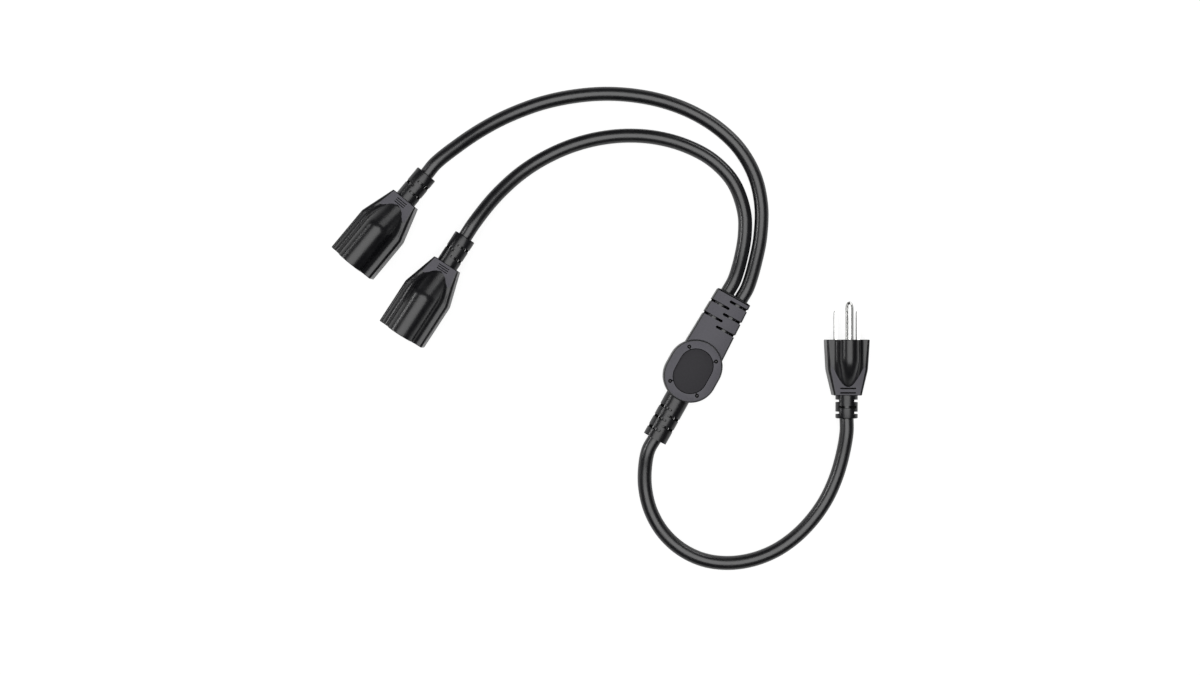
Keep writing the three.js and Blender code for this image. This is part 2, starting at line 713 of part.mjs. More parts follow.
function snouts(grow, from, to) {
  const ground = POLE_LINE + GROUND_RISE;
  const sides = [
    [POLE_SPACING / 2, LINE_SNOUT_HEIGHT / 2 + grow],
    [-POLE_SPACING / 2, NEUTRAL_SNOUT_HEIGHT / 2 + grow],
  ].map(([y, half]) =>
    alongX(roundedBox(SNOUT_WIDTH / 2 + grow, POLE_LINE - half, POLE_LINE + half, SNOUT_CORNER), from, to)
      .translate([0, y, 0]),
  );
  const half = GROUND_SNOUT_WIDTH / 2 + grow;
  const top = ground + GROUND_SNOUT_HEIGHT / 2 + grow;
  const low = ground - GROUND_SNOUT_HEIGHT / 2 - grow;
  const rounded = polygon([
    ...arc([0, low + half], half, 180, 360, ARC_STEPS),
    [half, top],
    [-half, top],
  ]);
  return joined(...sides, alongX(rounded, from, to));
}

function coreSection(grow) {
  const rim = CORE_RIM + grow;
  const halfWidth = (POLE_SPACING + SNOUT_WIDTH) / 2 + rim;
  const halfHeight = NEUTRAL_SNOUT_HEIGHT / 2 + rim;
  const upperHalf = GROUND_SNOUT_WIDTH / 2 + rim;
  const top = POLE_LINE + GROUND_RISE + GROUND_SNOUT_HEIGHT / 2 + rim;
  return polygon([
    [-halfWidth, POLE_LINE - halfHeight],
    [halfWidth, POLE_LINE - halfHeight],
    [halfWidth, POLE_LINE + halfHeight],
    [upperHalf, POLE_LINE + halfHeight],
    [upperHalf, top],
    [-upperHalf, top],
    [-upperHalf, POLE_LINE + halfHeight],
    [-halfWidth, POLE_LINE + halfHeight],
  ]);
}

function core() {
  const ground = POLE_LINE + GROUND_RISE;
  const slot = (y, height) =>
    block(
      [-OVERLAP, CONTACT_FRONT],
      [y - HOLE_WIDTH / 2, y + HOLE_WIDTH / 2],
      [POLE_LINE - height / 2, POLE_LINE + height / 2],
    );
  const pocket = (y, height) =>
    block(
      [SNOUT_WALL, CAP_FRONT],
      [y - CONTACT_WIDTH / 2 - FIT, y + CONTACT_WIDTH / 2 + FIT],
      [POLE_LINE - height / 2 - FIT, POLE_LINE + height / 2 + FIT],
    );
  const half = GROUND_HOLE_WIDTH / 2;
  const pinHole = polygon([
    ...arc([0, ground], half, 180, 360, ARC_STEPS),
    [half, ground + GROUND_HOLE_HEIGHT - half],
    [-half, ground + GROUND_HOLE_HEIGHT - half],
  ]);
  return without(
    joined(snouts(0, 0, SNOUT_DEPTH + FIT), alongX(coreSection(0), SNOUT_DEPTH, CONTACT_BACK)),
    slot(POLE_SPACING / 2, LINE_HOLE_HEIGHT),
    slot(-POLE_SPACING / 2, NEUTRAL_HOLE_HEIGHT),
    alongX(pinHole, -OVERLAP, CONTACT_FRONT),
    pocket(POLE_SPACING / 2, LINE_CONTACT_HEIGHT),
    pocket(-POLE_SPACING / 2, NEUTRAL_CONTACT_HEIGHT),
    bore(SOCKET_DIAMETER + 2 * FIT, SNOUT_WALL, CAP_FRONT, 0, ground),
  );
}

function coreCap() {
  const places = polePlaces(0, POLE_LINE);
  return without(
    alongX(coreSection(0), CAP_FRONT, CAP_BACK),
    ...POLES.map((pole) => {
      const [, y, z] = places[pole];
      return bore(TAIL_DIAMETER + 2 * FIT, CAP_FRONT - OVERLAP, CAP_BACK + OVERLAP, y, z);
    }),
  );
}

// A strip folded into a U, with its two leaves pinched together to grip a blade, and a round tail behind
function bladeContact(y, height) {
  const outer = CONTACT_WIDTH / 2;
  const grip = CONTACT_FRONT + CONTACT_LENGTH / 3;
  const inside = [
    [CONTACT_FRONT, outer - CONTACT_SHEET],
    [grip, CONTACT_PINCH],
    [CONTACT_BACK - CONTACT_SHEET, outer - CONTACT_SHEET],
  ];
  const outside = [
    [CONTACT_FRONT, outer],
    [grip, CONTACT_PINCH + CONTACT_SHEET],
    [CONTACT_BACK - CONTACT_SHEET, outer],
    [CONTACT_BACK, outer],
  ];
  const mirrored = (points) => points.map(([x, side]) => [x, -side]);
  const plan = polygon([
    ...mirrored(outside),
    ...[...outside].reverse(),
    ...inside,
    ...mirrored([...inside].reverse()),
  ]);
  const strip = upZ(plan, POLE_LINE - height / 2, POLE_LINE + height / 2).translate([0, y, 0]);
  const tailEnd = CONTACT_BACK + CONTACT_TAIL_LENGTH;
  const tail = rod(TAIL_DIAMETER, CONTACT_BACK - CONTACT_SHEET / 2, tailEnd, y, POLE_LINE);
  return strip.add(tail);
}

function socketContact() {
  const inner = SOCKET_BORE / 2;
  const outer = SOCKET_DIAMETER / 2;
  const tail = TAIL_DIAMETER / 2;
  const profile = [
    [0, CONTACT_BACK - CONTACT_SHEET],
    [inner, CONTACT_BACK - CONTACT_SHEET],
    [inner, CONTACT_FRONT],
    [outer, CONTACT_FRONT],
    [outer, CONTACT_BACK],
    [tail, CONTACT_BACK],
    [tail, CONTACT_BACK + CONTACT_TAIL_LENGTH],
    [0, CONTACT_BACK + CONTACT_TAIL_LENGTH],
  ];
  const lathe = new THREE.LatheGeometry(profile.map((p) => new THREE.Vector2(...p)), ROUND_SIDES);
  return solid(lathe.rotateZ(-Math.PI / 2).translate(0, 0, POLE_LINE + GROUND_RISE));
}

function receptacle(name) {
  const group = turned(RECEPTACLE_PLACES[name]);
  const tails = polePlaces(CONTACT_LEAD_START, POLE_LINE);
  const seat = RECEPTACLE_LENGTH - CORD_SEAT;
  const ends = jacketEnd(seat - FIT, RECEPTACLE_AXIS);
  const body = without(
    receptacleOutside(),
    snouts(FIT, -OVERLAP, SNOUT_DEPTH),
    alongX(coreSection(FIT), SNOUT_DEPTH - FIT, CAP_BACK + FIT),
    bore(CORD_DIAMETER + 2 * FIT, seat - FIT, RECEPTACLE_END + OVERLAP, 0, RECEPTACLE_AXIS),
    ...POLES.map((pole) => {
      const [, y, z] = tails[pole];
      return bore(TAIL_DIAMETER + 2 * FIT, CAP_BACK, CONTACT_LEAD_START, y, z);
    }),
    ...POLES.map((pole) => leadHole(tails[pole], ends[pole])),
  );
  group.add(
    mesh(`${name}_receptacle_body`, body, vinyl),
    mesh(`${name}_receptacle_core`, core(), hardPlastic),
    mesh(`${name}_receptacle_cap`, coreCap(), hardPlastic),
    mesh(`${name}_line_contact`, bladeContact(POLE_SPACING / 2, LINE_CONTACT_HEIGHT), brass),
    mesh(`${name}_neutral_contact`, bladeContact(-POLE_SPACING / 2, NEUTRAL_CONTACT_HEIGHT), brass),
    mesh(`${name}_ground_contact`, socketContact(), brass),
    ...POLES.map((pole) => leadMesh(`${name}_${pole}_lead`, pole, tails[pole], ends[pole])),
  );
  return group;
}

// Hub: x runs from the trunk cord to the branch cords, and the outer branch is on the -y side
const HUB_AXIS = DISC_THICKNESS / 2;
const TRUNK_SEAT = -DISC_LENGTH / 2;
const SPLICE_PITCH = SPLICE_HEIGHT + 2 * FIT + TRAY_WALL;
const STACK = { line: 1, ground: 0, neutral: -1 };
const BRANCHES = { inner: 1, outer: -1 }; // the side in y on which each branch cord leaves
const BLOCK_SQUARE_AT = BLOCK_REACH - BLOCK_BULGE; // where the block's straight sides end

function blockWidth(x) {
  const part = (x - BLOCK_ROOT_AT) / (BLOCK_SQUARE_AT - BLOCK_ROOT_AT);
  return BLOCK_ROOT_WIDTH + part * (BLOCK_END_WIDTH - BLOCK_ROOT_WIDTH);
}

function hubOutside() {
  const blockHalf = BLOCK_THICKNESS / 2;
  const root = BLOCK_ROOT_WIDTH / 2;
  const end = BLOCK_END_WIDTH / 2;
  const disc = joined(
    upZ(stadium(DISC_LENGTH, DISC_WIDTH), DISC_EDGE, DISC_THICKNESS - DISC_EDGE),
    upZ(stadium(DISC_LENGTH - 2 * DISC_EDGE, DISC_WIDTH - 2 * DISC_EDGE), 0, DISC_THICKNESS),
  );
  const bulge = arc([0, 0], 1, -90, 90, ARC_STEPS).map((p) => [
    BLOCK_SQUARE_AT + BLOCK_BULGE * p.x,
    end * p.y,
  ]);
  const branchBlock = upZ(
    polygon([[0, -root], [BLOCK_ROOT_AT, -root], ...bulge, [BLOCK_ROOT_AT, root], [0, root]]),
    HUB_AXIS - blockHalf,
    HUB_AXIS + blockHalf,
  );
  const relief = rod(HUB_RELIEF_DIAMETER, -HUB_RELIEF_REACH, 0, 0, HUB_AXIS);
  const top = DISC_THICKNESS;
  const marks = [1, -1].flatMap((x) =>
    [1, -1].map((y) =>
      upZ(
        polygon(arc([x * MARK_X, y * MARK_Y], MARK_DIAMETER / 2, 0, 360, ARC_STEPS).slice(1)),
        top - MARK_DEPTH,
        top + OVERLAP,
      ),
    ),
  );
  return without(
    joined(disc, branchBlock, relief),
    upZ(stadium(PANEL_LENGTH, PANEL_WIDTH), top - PANEL_DEPTH, top + OVERLAP),
    ...marks,
    ...BLOCK_SLOTS_RIGHT.map((at) => halfSlot(at, -1, BLOCK_SLOT_PAST, HUB_AXIS, blockWidth(at))),
    ...BLOCK_SLOTS_LEFT.map((at) => halfSlot(at, 1, BLOCK_SLOT_PAST, HUB_AXIS, blockWidth(at))),
    ...HUB_SLOTS_RIGHT.map((at) => halfSlot(-at, -1, SLOT_PAST_TOP, HUB_AXIS, HUB_RELIEF_DIAMETER)),
    ...HUB_SLOTS_LEFT.map((at) => halfSlot(-at, 1, SLOT_PAST_TOP, HUB_AXIS, HUB_RELIEF_DIAMETER)),
  );
}

function trayOutside(grow) {
  const halfHeight = SPLICE_PITCH + SPLICE_HEIGHT / 2 + FIT + TRAY_WALL + grow;
  const halfWidth = SPLICE_WIDTH / 2 + FIT + TRAY_WALL + grow;
  const halfLength = TRAY_LENGTH / 2 + grow;
  return block(
    [-halfLength, halfLength],
    [-halfWidth, halfWidth],
    [HUB_AXIS - halfHeight, HUB_AXIS + halfHeight],
  );
}

function splice(pole, grow, halfLength) {
  const middle = HUB_AXIS + STACK[pole] * SPLICE_PITCH;
  const halfWidth = SPLICE_WIDTH / 2 + grow;
  const halfHeight = SPLICE_HEIGHT / 2 + grow;
  return block(
    [-halfLength, halfLength],
    [-halfWidth, halfWidth],
    [middle - halfHeight, middle + halfHeight],
  );
}

function hubLeads(pole) {
  const low = HUB_AXIS + STACK[pole] * HUB_LEAD_SPACING;
  const high = HUB_AXIS + STACK[pole] * SPLICE_PITCH;
  const face = SPLICE_LENGTH / 2 + FIT;
  const branches = Object.entries(BRANCHES).map(([branch, side]) => ({
    name: `hub_${branch}_${pole}_lead`,
    from: [face, (side * SPLICE_LEAD_SPACING) / 2, high],
    to: [BRANCH_SEAT_AT - FIT, (side * BRANCH_SPACING) / 2, low],
  }));
  const trunk = { name: `hub_trunk_${pole}_lead`, from: [TRUNK_SEAT + FIT, 0, low], to: [-face, 0, high] };
  return [trunk, ...branches];
}

function hub() {
  const group = turned(HUB_PLACE);
  const leads = POLES.flatMap((pole) => hubLeads(pole).map((run) => ({ pole, ...run })));
  const round = CORD_DIAMETER + 2 * FIT;
  const body = without(
    hubOutside(),
    trayOutside(FIT),
    bore(round, -HUB_RELIEF_REACH - OVERLAP, TRUNK_SEAT + FIT, 0, HUB_AXIS),
    ...Object.values(BRANCHES).map((side) =>
      bore(round, BRANCH_SEAT_AT - FIT, BLOCK_REACH + OVERLAP, (side * BRANCH_SPACING) / 2, HUB_AXIS),
    ),
    ...leads.map(({ from, to }) => leadHole(from, to)),
  );
  const tray = without(
    trayOutside(0),
    ...POLES.map((pole) => splice(pole, FIT, TRAY_LENGTH / 2 + OVERLAP)),
    ...leads.map(({ from, to }) => leadHole(from, to)),
  );
  group.add(
    mesh("hub_body", body, vinyl),
    mesh("splice_tray", tray, hardPlastic),
    ...POLES.map((pole) => mesh(`${pole}_splice`, splice(pole, 0, SPLICE_LENGTH / 2), brass)),
    ...leads.map(({ name, pole, from, to }) => leadMesh(name, pole, from, to)),
  );
  return group;
}

// Cords: straight through each strain relief, then along the route on the table
function onTable(place, x, y, z) {
  const turn = THREE.MathUtils.degToRad(place.turn);
  return new THREE.Vector3(
    place.x + x * Math.cos(turn) - y * Math.sin(turn),
    place.y + x * Math.sin(turn) + y * Math.cos(turn),
    z,
  );
}

// From where a cord ends inside a body to the end of the straight stretch in front of its relief
function straightEnd(place, seat, exit, y, z) {
  const out = Math.sign(exit - seat);
  return [seat, (seat + exit) / 2, exit, exit + out * EXIT_STRAIGHT].map((x) => onTable(place, x, y, z));
}

function cord(name, start, route, end) {
  const middle = route.map((p) => new THREE.Vector3(...p));
  const path = new THREE.CatmullRomCurve3([...start, ...middle, ...end.reverse()]);
  const steps = Math.round(path.getLength() / CORD_STEP);
  return mesh(name, tube(path, CORD_DIAMETER, CORD_SIDES, steps), jacket);
}

function branchCord(name, route) {
  const y = (BRANCHES[name] * BRANCH_SPACING) / 2;
  const seat = RECEPTACLE_LENGTH - CORD_SEAT;
  return cord(
    `${name}_branch_cord`,
    straightEnd(RECEPTACLE_PLACES[name], seat, RECEPTACLE_END, 0, RECEPTACLE_AXIS),
    route,
    straightEnd(HUB_PLACE, BRANCH_SEAT_AT, BLOCK_REACH, y, HUB_AXIS),
  );
}

const splitter = new THREE.Group();
splitter.add(
  plug(),
  hub(),
  receptacle("outer"),
  receptacle("inner"),
  cord(
    "trunk_cord",
    straightEnd(HUB_PLACE, TRUNK_SEAT, -HUB_RELIEF_REACH, 0, HUB_AXIS),
    TRUNK_ROUTE,
    straightEnd(PLUG_PLACE, PLUG_LENGTH - CORD_SEAT, PLUG_END, 0, PLUG_AXIS),
  ),
  branchCord("outer", OUTER_ROUTE),
  branchCord("inner", INNER_ROUTE),
);

export default splitter;
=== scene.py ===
"""The finish of the power cord splitter: moulded bodies, cords, prongs and contacts.

Each moulded body is lofted in its own frame, as in the CAD: x along its cord, y across it, z up from
the table. Sizes are in millimetres, and a piece is scaled and placed when its mesh is made.
"""

import math

import bmesh
import bpy
from mathutils import Matrix, Vector


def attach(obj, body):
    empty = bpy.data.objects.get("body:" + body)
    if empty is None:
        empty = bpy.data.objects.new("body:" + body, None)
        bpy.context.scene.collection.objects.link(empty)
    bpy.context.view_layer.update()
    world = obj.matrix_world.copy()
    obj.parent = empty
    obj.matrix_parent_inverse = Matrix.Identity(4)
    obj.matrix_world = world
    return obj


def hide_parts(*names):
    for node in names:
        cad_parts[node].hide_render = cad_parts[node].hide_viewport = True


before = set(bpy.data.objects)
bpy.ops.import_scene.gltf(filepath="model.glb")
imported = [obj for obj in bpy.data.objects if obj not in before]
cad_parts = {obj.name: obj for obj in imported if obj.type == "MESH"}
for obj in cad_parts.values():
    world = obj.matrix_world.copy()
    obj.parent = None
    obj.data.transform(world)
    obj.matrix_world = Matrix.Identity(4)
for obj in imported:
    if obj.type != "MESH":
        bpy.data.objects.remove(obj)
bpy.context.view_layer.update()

MM = 0.001
FIT = 0.3
PAST = 1  # how far a cutting tool runs past the surface that it cuts
POLES = ("line", "neutral", "ground")

# Cords
CORD_DIAMETER = 8
ON_TABLE = CORD_DIAMETER / 2 + 0.05
EXIT_STRAIGHT = CORD_DIAMETER
CORD_SEAT = 3

# The three-pole pattern
POLE_SPACING = 12.7
GROUND_RISE = 11.89
NEUTRAL_SNOUT = 11.5
LINE_SNOUT = 9.8
SNOUT_HALF_WIDTH = 2.4
GROUND_SNOUT = 4.2
GROUND_SNOUT_RISE = 3.8
GROUND_SNOUT_CORNER = 0.6
SNOUT_CORNER = 1
SNOUT_PLAY = 0.12
SNOUT_OVERLAP = 0.1
CORE_RIM = 0.6

# Strain reliefs
RELIEF_DIAMETER = 12.6
RELIEF_SLOT = 1.5
SLOT_PAST_TOP = 0.5
SLOT_WEB = 2
SLOT_SETBACK = 0.4
RELIEF_BORE = CORD_DIAMETER + 2 * FIT
RELIEF_RIM = 0.5
RELIEF_LIP = 0.2
RELIEF_TURNS = 96
RELIEF_SUNK = 0.5

# Plug
PLUG_LENGTH = 31.6
PLUG_HEIGHT = 16
PLUG_AXIS = PLUG_HEIGHT / 2
PLUG_RELIEF_LENGTH = 13.1
PLUG_END = PLUG_LENGTH + PLUG_RELIEF_LENGTH
PLUG_SIDE_SLOTS = (3.1, 9.9)
PLUG_TOP_SLOT = 6.5
PLUG_STEP = 0.4
PLUG_HALF_WIDTHS = ((0, 12.25), (17, 11.4), (PLUG_LENGTH, 7.9))
PLUG_WIDTH_EASING = 1.5
PLUG_CORNERS = ((0, 1.6), (14.3, 2.2), (PLUG_LENGTH, 1.4))
PLUG_LOW_CORNER = 2
PLUG_SADDLE = ((14.3, 15.3), (PLUG_LENGTH, 14.6))
PLUG_SADDLE_EDGE = 14.2
PLUG_SADDLE_HIDDEN = 5
PLUG_UNDERSIDE = [(5, 0), (2.5, 0), (0, 0)]
PLUG_DOME_RADIUS = 5.45
PLUG_DOME_NARROWS = 0.17
PLUG_DOME_STRAIGHT = 10
PLUG_DOME_BEND = 0.0375
PLUG_FILLET = 3.6
PLUG_FILLET_GROWS = 0.24
PLUG_TAPER_AT = 12
PLUG_SHOULDER_BEND = 0.013
PLUG_SHOULDER_SLOPE = 0.02
PLUG_GROOVES = {"count": 2, "first": 27.6, "spacing": 2.5, "length": 9, "width": 0.85, "depth": 0.7}

# Receptacles
RECEPTACLE_LENGTH = 47
KEEL_WIDTH = 9.7
KEEL_HEIGHT = 8
BLOCK_HEIGHT = 17.8
BLOCK_TOP = KEEL_HEIGHT + BLOCK_HEIGHT
RECEPTACLE_AXIS = KEEL_HEIGHT + BLOCK_HEIGHT / 2
POLE_LINE = KEEL_HEIGHT + 8.2
DOME_RADIUS = 7.9
DOME_CENTRE = POLE_LINE + GROUND_RISE + 0.6
RELIEF_LENGTH = 18.5
RECEPTACLE_END = RECEPTACLE_LENGTH + RELIEF_LENGTH
RECEPTACLE_STEP = 0.5
FACE_LENGTH = 27
HALF_WIDTHS = ((0, 14.05), (FACE_LENGTH, 14.05), (RECEPTACLE_LENGTH, 8))
SADDLE_AT = 36.5
SADDLE_EDGE = SADDLE_AT - 0.1
SADDLE_START = 25.3
SADDLE_END = 23.8
SADDLE = ((SADDLE_AT, SADDLE_START), (RECEPTACLE_LENGTH, SADDLE_END))
SADDLE_HIDDEN = 10
SHOULDERS = ((0, BLOCK_TOP), (FACE_LENGTH, BLOCK_TOP), (SADDLE_AT, SADDLE_START), (RECEPTACLE_LENGTH, 20))
CORNERS = ((0, 2), (FACE_LENGTH, 2.2), (SADDLE_AT, 2.2), (RECEPTACLE_LENGTH, 0.9))
LOW_CORNER = 1.5
DOME_SINKS = ((0, 0), (26, 0), (42, 12.3), (RECEPTACLE_LENGTH, 16.2))
KEEL_RISES = ((0, 0), (26, 0), (41, KEEL_HEIGHT), (RECEPTACLE_LENGTH, KEEL_HEIGHT))
KEEL_STEPS = 12
WIDTH_EASING = 0.8
SHOULDER_EASING = 1
DOME_EASING = 1.6
KEEL_EASING = 0.8
DOME_FILLET = 4.4
SNOUT_DEPTH = 3
CAP_BACK = 19.6
FAR_SIDE_SLOTS = (9.8,)
NEAR_SIDE_SLOTS = (6.2, 13.4)
RIB_ACROSS = 7.8
RIB_HALF_WIDTH = 0.8
RIB_HEIGHTS = (7.5, 9)
RIB_CORNER = 0.3
RIB_REACH = (0.2, 26.8)
RECEPTACLE_GROOVES = {"count": 3, "first": 42.6, "spacing": 1.2, "length": 6.8, "width": 0.5, "depth": 0.6}

# Hub
DISC_LENGTH = 36.5
DISC_WIDTH = 30.5
DISC_THICKNESS = 17
PANEL_LENGTH = 26.6
PANEL_WIDTH = 19.8
HUB_AXIS = DISC_THICKNESS / 2
BLOCK_THICKNESS = 14
BLOCK_REACH = 48.8
BLOCK_BULGE = 0.9
BLOCK_ROOT_AT = 12.8
BLOCK_ROOT_WIDTH = 23.5
BLOCK_END_WIDTH = 20.7
BRANCH_SPACING = 8.7
BRANCH_SEAT_AT = 24
BLOCK_SLOTS_RIGHT = (28.5, 36.6, 44.6)
BLOCK_SLOTS_LEFT = (32.5, 40.5)
BLOCK_SLOT_PAST = 1
HUB_RELIEF_DIAMETER = 14.1
HUB_RELIEF_REACH = 43.5
HUB_RELIEF_START = 15
HUB_SLOTS_RIGHT = (28.7, 35.4)
HUB_SLOTS_LEFT = (25.3, 32, 38.7)
HUB_EDGE = 0.9
OUTLINE_STEPS = 48
MARK_AT = (11.06, 8.65)
MARK_RADIUS = 1.15
MARK_DEPTH = 1
BUTTON_RADIUS = 0.35
NOTCH_HALF_WIDTH = 0.3
NOTCH_DEPTH = 0.6
NOTCH_REACH = (0.8, 2)
PANEL_DEPTH = 0.5
PANEL_GAP = 0.35
PANEL_EDGE = 0.12
PANEL_SUNK = 0.1

# Places on the table
PLACES = {
    "plug": (139.2, -19.1, -90),
    "hub": (51.5, -36.9, 60.9),
    "outer": (-140.6, 23.8, 50.3),
    "inner": (-112.7, -16.1, 57),
}


def place_matrix(name):
    x, y, turn = PLACES[name]
    return Matrix.Scale(MM, 4) @ Matrix.Translation((x, y, 0)) @ Matrix.Rotation(math.radians(turn), 4, "Z")


# Camera
CAMERA_HEIGHT = 1.04
FOCAL_LENGTH = 54.45
SENSOR = 36
VIEW_CENTRE = (-0.001, -0.0179)

camera_data = bpy.data.cameras.new("camera")
camera_data.lens = FOCAL_LENGTH
camera_data.sensor_width = SENSOR
camera_data.clip_start = 0.01
camera_data.clip_end = 20
camera = bpy.data.objects.new("camera", camera_data)
camera.location = (*VIEW_CENTRE, CAMERA_HEIGHT)
bpy.context.collection.objects.link(camera)
bpy.context.scene.camera = camera


# Materials
NOISE_RANGE = (0.3, 0.7)
BLOTCH_DETAIL = 3
GRAIN_DETAIL = 2
BUMP_STRENGTH = 0.5


def new_material(name):
    material = bpy.data.materials.new(name)
    material.use_nodes = True
    nodes = material.node_tree.nodes
    return material, nodes, material.node_tree.links, nodes["Principled BSDF"]


def noise(nodes, links, size, detail):
    """Noise in the object's own coordinates, with blobs of about this size in metres."""
    coordinates = nodes.new("ShaderNodeTexCoord")
    texture = nodes.new("ShaderNodeTexNoise")
    texture.inputs["Scale"].default_value = 1 / size
    texture.inputs["Detail"].default_value = detail
    links.new(coordinates.outputs["Object"], texture.inputs["Vector"])
    return texture


def spread(nodes, links, source, low, high):
    """The source's middle range, stretched to low..high."""
    ranged = nodes.new("ShaderNodeMapRange")
    ranged.inputs["From Min"].default_value, ranged.inputs["From Max"].default_value = NOISE_RANGE
    ranged.inputs["To Min"].default_value = low
    ranged.inputs["To Max"].default_value = high
    links.new(source, ranged.inputs["Value"])
    return ranged.outputs["Result"]


def tinted(nodes, links, source, dark, light):
    ramp = nodes.new("ShaderNodeValToRGB")
    for element, position, colour in zip(ramp.color_ramp.elements, NOISE_RANGE, (dark, light)):
        element.position = position
        element.color = (*colour, 1)
    links.new(source, ramp.inputs["Fac"])
    return ramp.outputs["Color"]


def moulded(name, dark, light, roughness, grain, height, metallic=0.0, blotch=0.006, gloss=0.5):
    """A procedural plastic or metal: blotches of colour and gloss, and a fine grain in the surface."""
    material, nodes, links, shader = new_material(name)
    wide = noise(nodes, links, blotch, BLOTCH_DETAIL)
    fine = noise(nodes, links, grain, GRAIN_DETAIL)
    links.new(tinted(nodes, links, wide.outputs["Fac"], dark, light), shader.inputs["Base Color"])
    links.new(spread(nodes, links, wide.outputs["Fac"], *roughness), shader.inputs["Roughness"])
    bump = nodes.new("ShaderNodeBump")
    bump.inputs["Strength"].default_value = BUMP_STRENGTH
    bump.inputs["Distance"].default_value = height
    links.new(fine.outputs["Fac"], bump.inputs["Height"])
    links.new(bump.outputs["Normal"], shader.inputs["Normal"])
    shader.inputs["Metallic"].default_value = metallic
    shader.inputs["Specular IOR Level"].default_value = gloss
    return material


vinyl = moulded(
    "vinyl", dark=(0.004, 0.004, 0.005), light=(0.007, 0.007, 0.008),
    roughness=(0.28, 0.32), grain=0.0006, height=0.0000008, gloss=0.46,
)
grained = moulded(
    "grained_vinyl", dark=(0.048, 0.046, 0.056), light=(0.064, 0.061, 0.074),
    roughness=(0.58, 0.68), grain=0.0003, height=0.00005, blotch=0.0015,
)
panel = moulded(
    "panel_vinyl", dark=(0.018, 0.017, 0.02), light=(0.024, 0.023, 0.027),
    roughness=(0.64, 0.72), grain=0.0003, height=0.00005, blotch=0.0015, gloss=0.25,
)
# Painted shade: a near-black, dull finish for the faces of grooves, slots, bores, marks, notches and the
# panel's well, so these recesses look darker than the vinyl and show no reflections
recess = moulded(
    "recess_painted_shade", dark=(0.002, 0.002, 0.002), light=(0.004, 0.004, 0.004),
    roughness=(0.8, 0.9), grain=0.0006, height=0.00001, gloss=0.1,
)
jacket = moulded(
    "jacket", dark=(0.004, 0.004, 0.005), light=(0.007, 0.007, 0.008),
    roughness=(0.29, 0.33), grain=0.0008, height=0.0000008, blotch=0.01, gloss=0.62,
)
carrier = moulded(
    "carrier", dark=(0.05, 0.045, 0.056), light=(0.065, 0.058, 0.072),
    roughness=(0.4, 0.48), grain=0.0005, height=0.00001,
)
nickel = moulded(
    "nickel", dark=(0.6, 0.6, 0.59), light=(0.7, 0.7, 0.69),
    roughness=(0.24, 0.27), grain=0.0004, height=0.0000003, metallic=1.0,
)
brass = moulded(
    "brass", dark=(0.66, 0.5, 0.25), light=(0.76, 0.6, 0.33),
    roughness=(0.22, 0.32), grain=0.0003, height=0.000004, metallic=1.0,
)
# The last finish, recess, is painted shade for the faces that the cutting tools leave in recesses
MOULDING = (vinyl, grained, panel, recess)
VINYL, GRAINED, PANEL, PAINTED_SHADE = range(len(MOULDING))
LEAD_FINISH = {
    pole: moulded(f"{pole}_lead", dark, light, roughness=(0.35, 0.45), grain=0.0005, height=0.00001)
    for pole, dark, light in (
        ("line", (0.01, 0.01, 0.01), (0.016, 0.016, 0.016)),
        ("neutral", (0.7, 0.7, 0.67), (0.8, 0.8, 0.77)),
        ("ground", (0.012, 0.19, 0.05), (0.018, 0.25, 0.07)),
    )
}


# Mesh tools
def new_piece(name, mesh, slot, *materials):
    piece = bpy.data.objects.new(name, mesh)
    bpy.context.collection.objects.link(piece)
    for material in materials:
        piece.data.materials.append(material)
    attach(piece, "root")
    return piece


def moulding_piece(name, shape):
    return new_piece(name, to_mesh(name, shape), "moulding", *MOULDING)


def arc(centre, radius, start, stop, steps):
    """Points of an arc in degrees."""
    angles = [math.radians(start + (stop - start) * i / steps) for i in range(steps + 1)]
    return [(centre[0] + radius * math.cos(a), centre[1] + radius * math.sin(a)) for a in angles]


def circle(centre, radius, count):
    """This many points on a whole circle."""
    return arc(centre, radius, 0, 360 - 360 / count, count - 1)


def resampled(points, count):
    """The same open line with count points at even steps."""
    lengths = [0.0]
    for a, b in zip(points, points[1:]):
        lengths.append(lengths[-1] + math.dist(a, b))
    made = []
    j = 0
    for i in range(count):
        target = lengths[-1] * i / (count - 1)
        while j < len(points) - 2 and lengths[j + 1] < target:
            j += 1
        span = lengths[j + 1] - lengths[j]
        part = 0 if span == 0 else (target - lengths[j]) / span
        made.append(tuple(p + (q - p) * part for p, q in zip(points[j], points[j + 1])))
    return made


def shrunk(ring, inset):
    """A closed outline moved inwards by inset, for the rounded edge of an end face."""
    pairs = list(zip(ring, ring[1:] + ring[:1]))
    turn = math.copysign(1, sum(a[0] * b[1] - b[0] * a[1] for a, b in pairs))
    made = []
    for i, (x, y) in enumerate(ring):
        behind = ring[i - 1]
        ahead = ring[(i + 1) % len(ring)]
        along = Vector((ahead[0] - behind[0], ahead[1] - behind[1])).normalized()
        made.append((x - turn * inset * along.y, y + turn * inset * along.x))
    return made


def loft(rings):
    """A closed bmesh through rings of points with the same count, capped at both ends."""
    shape = bmesh.new()
    rows = [[shape.verts.new(p) for p in ring] for ring in rings]
    for a, b in zip(rows, rows[1:]):
        for i in range(len(a)):
            j = (i + 1) % len(a)
            shape.faces.new((a[i], a[j], b[j], b[i]))
    shape.faces.new(list(reversed(rows[0])))
    shape.faces.new(rows[-1])
    bmesh.ops.recalc_face_normals(shape, faces=shape.faces)
    return shape


def to_mesh(name, shape):
    mesh = bpy.data.meshes.new(name)
    shape.to_mesh(mesh)
    shape.free()
    return mesh


def scratch(name, shape, finish=VINYL):
    """An object that only cuts or joins, and is deleted afterwards: the faces it leaves have its finish."""
    for face in shape.faces:
        face.material_index = finish
    made = bpy.data.objects.new(name, to_mesh(name, shape))
    for material in MOULDING:
        made.data.materials.append(material)
    bpy.context.collection.objects.link(made)
    return made


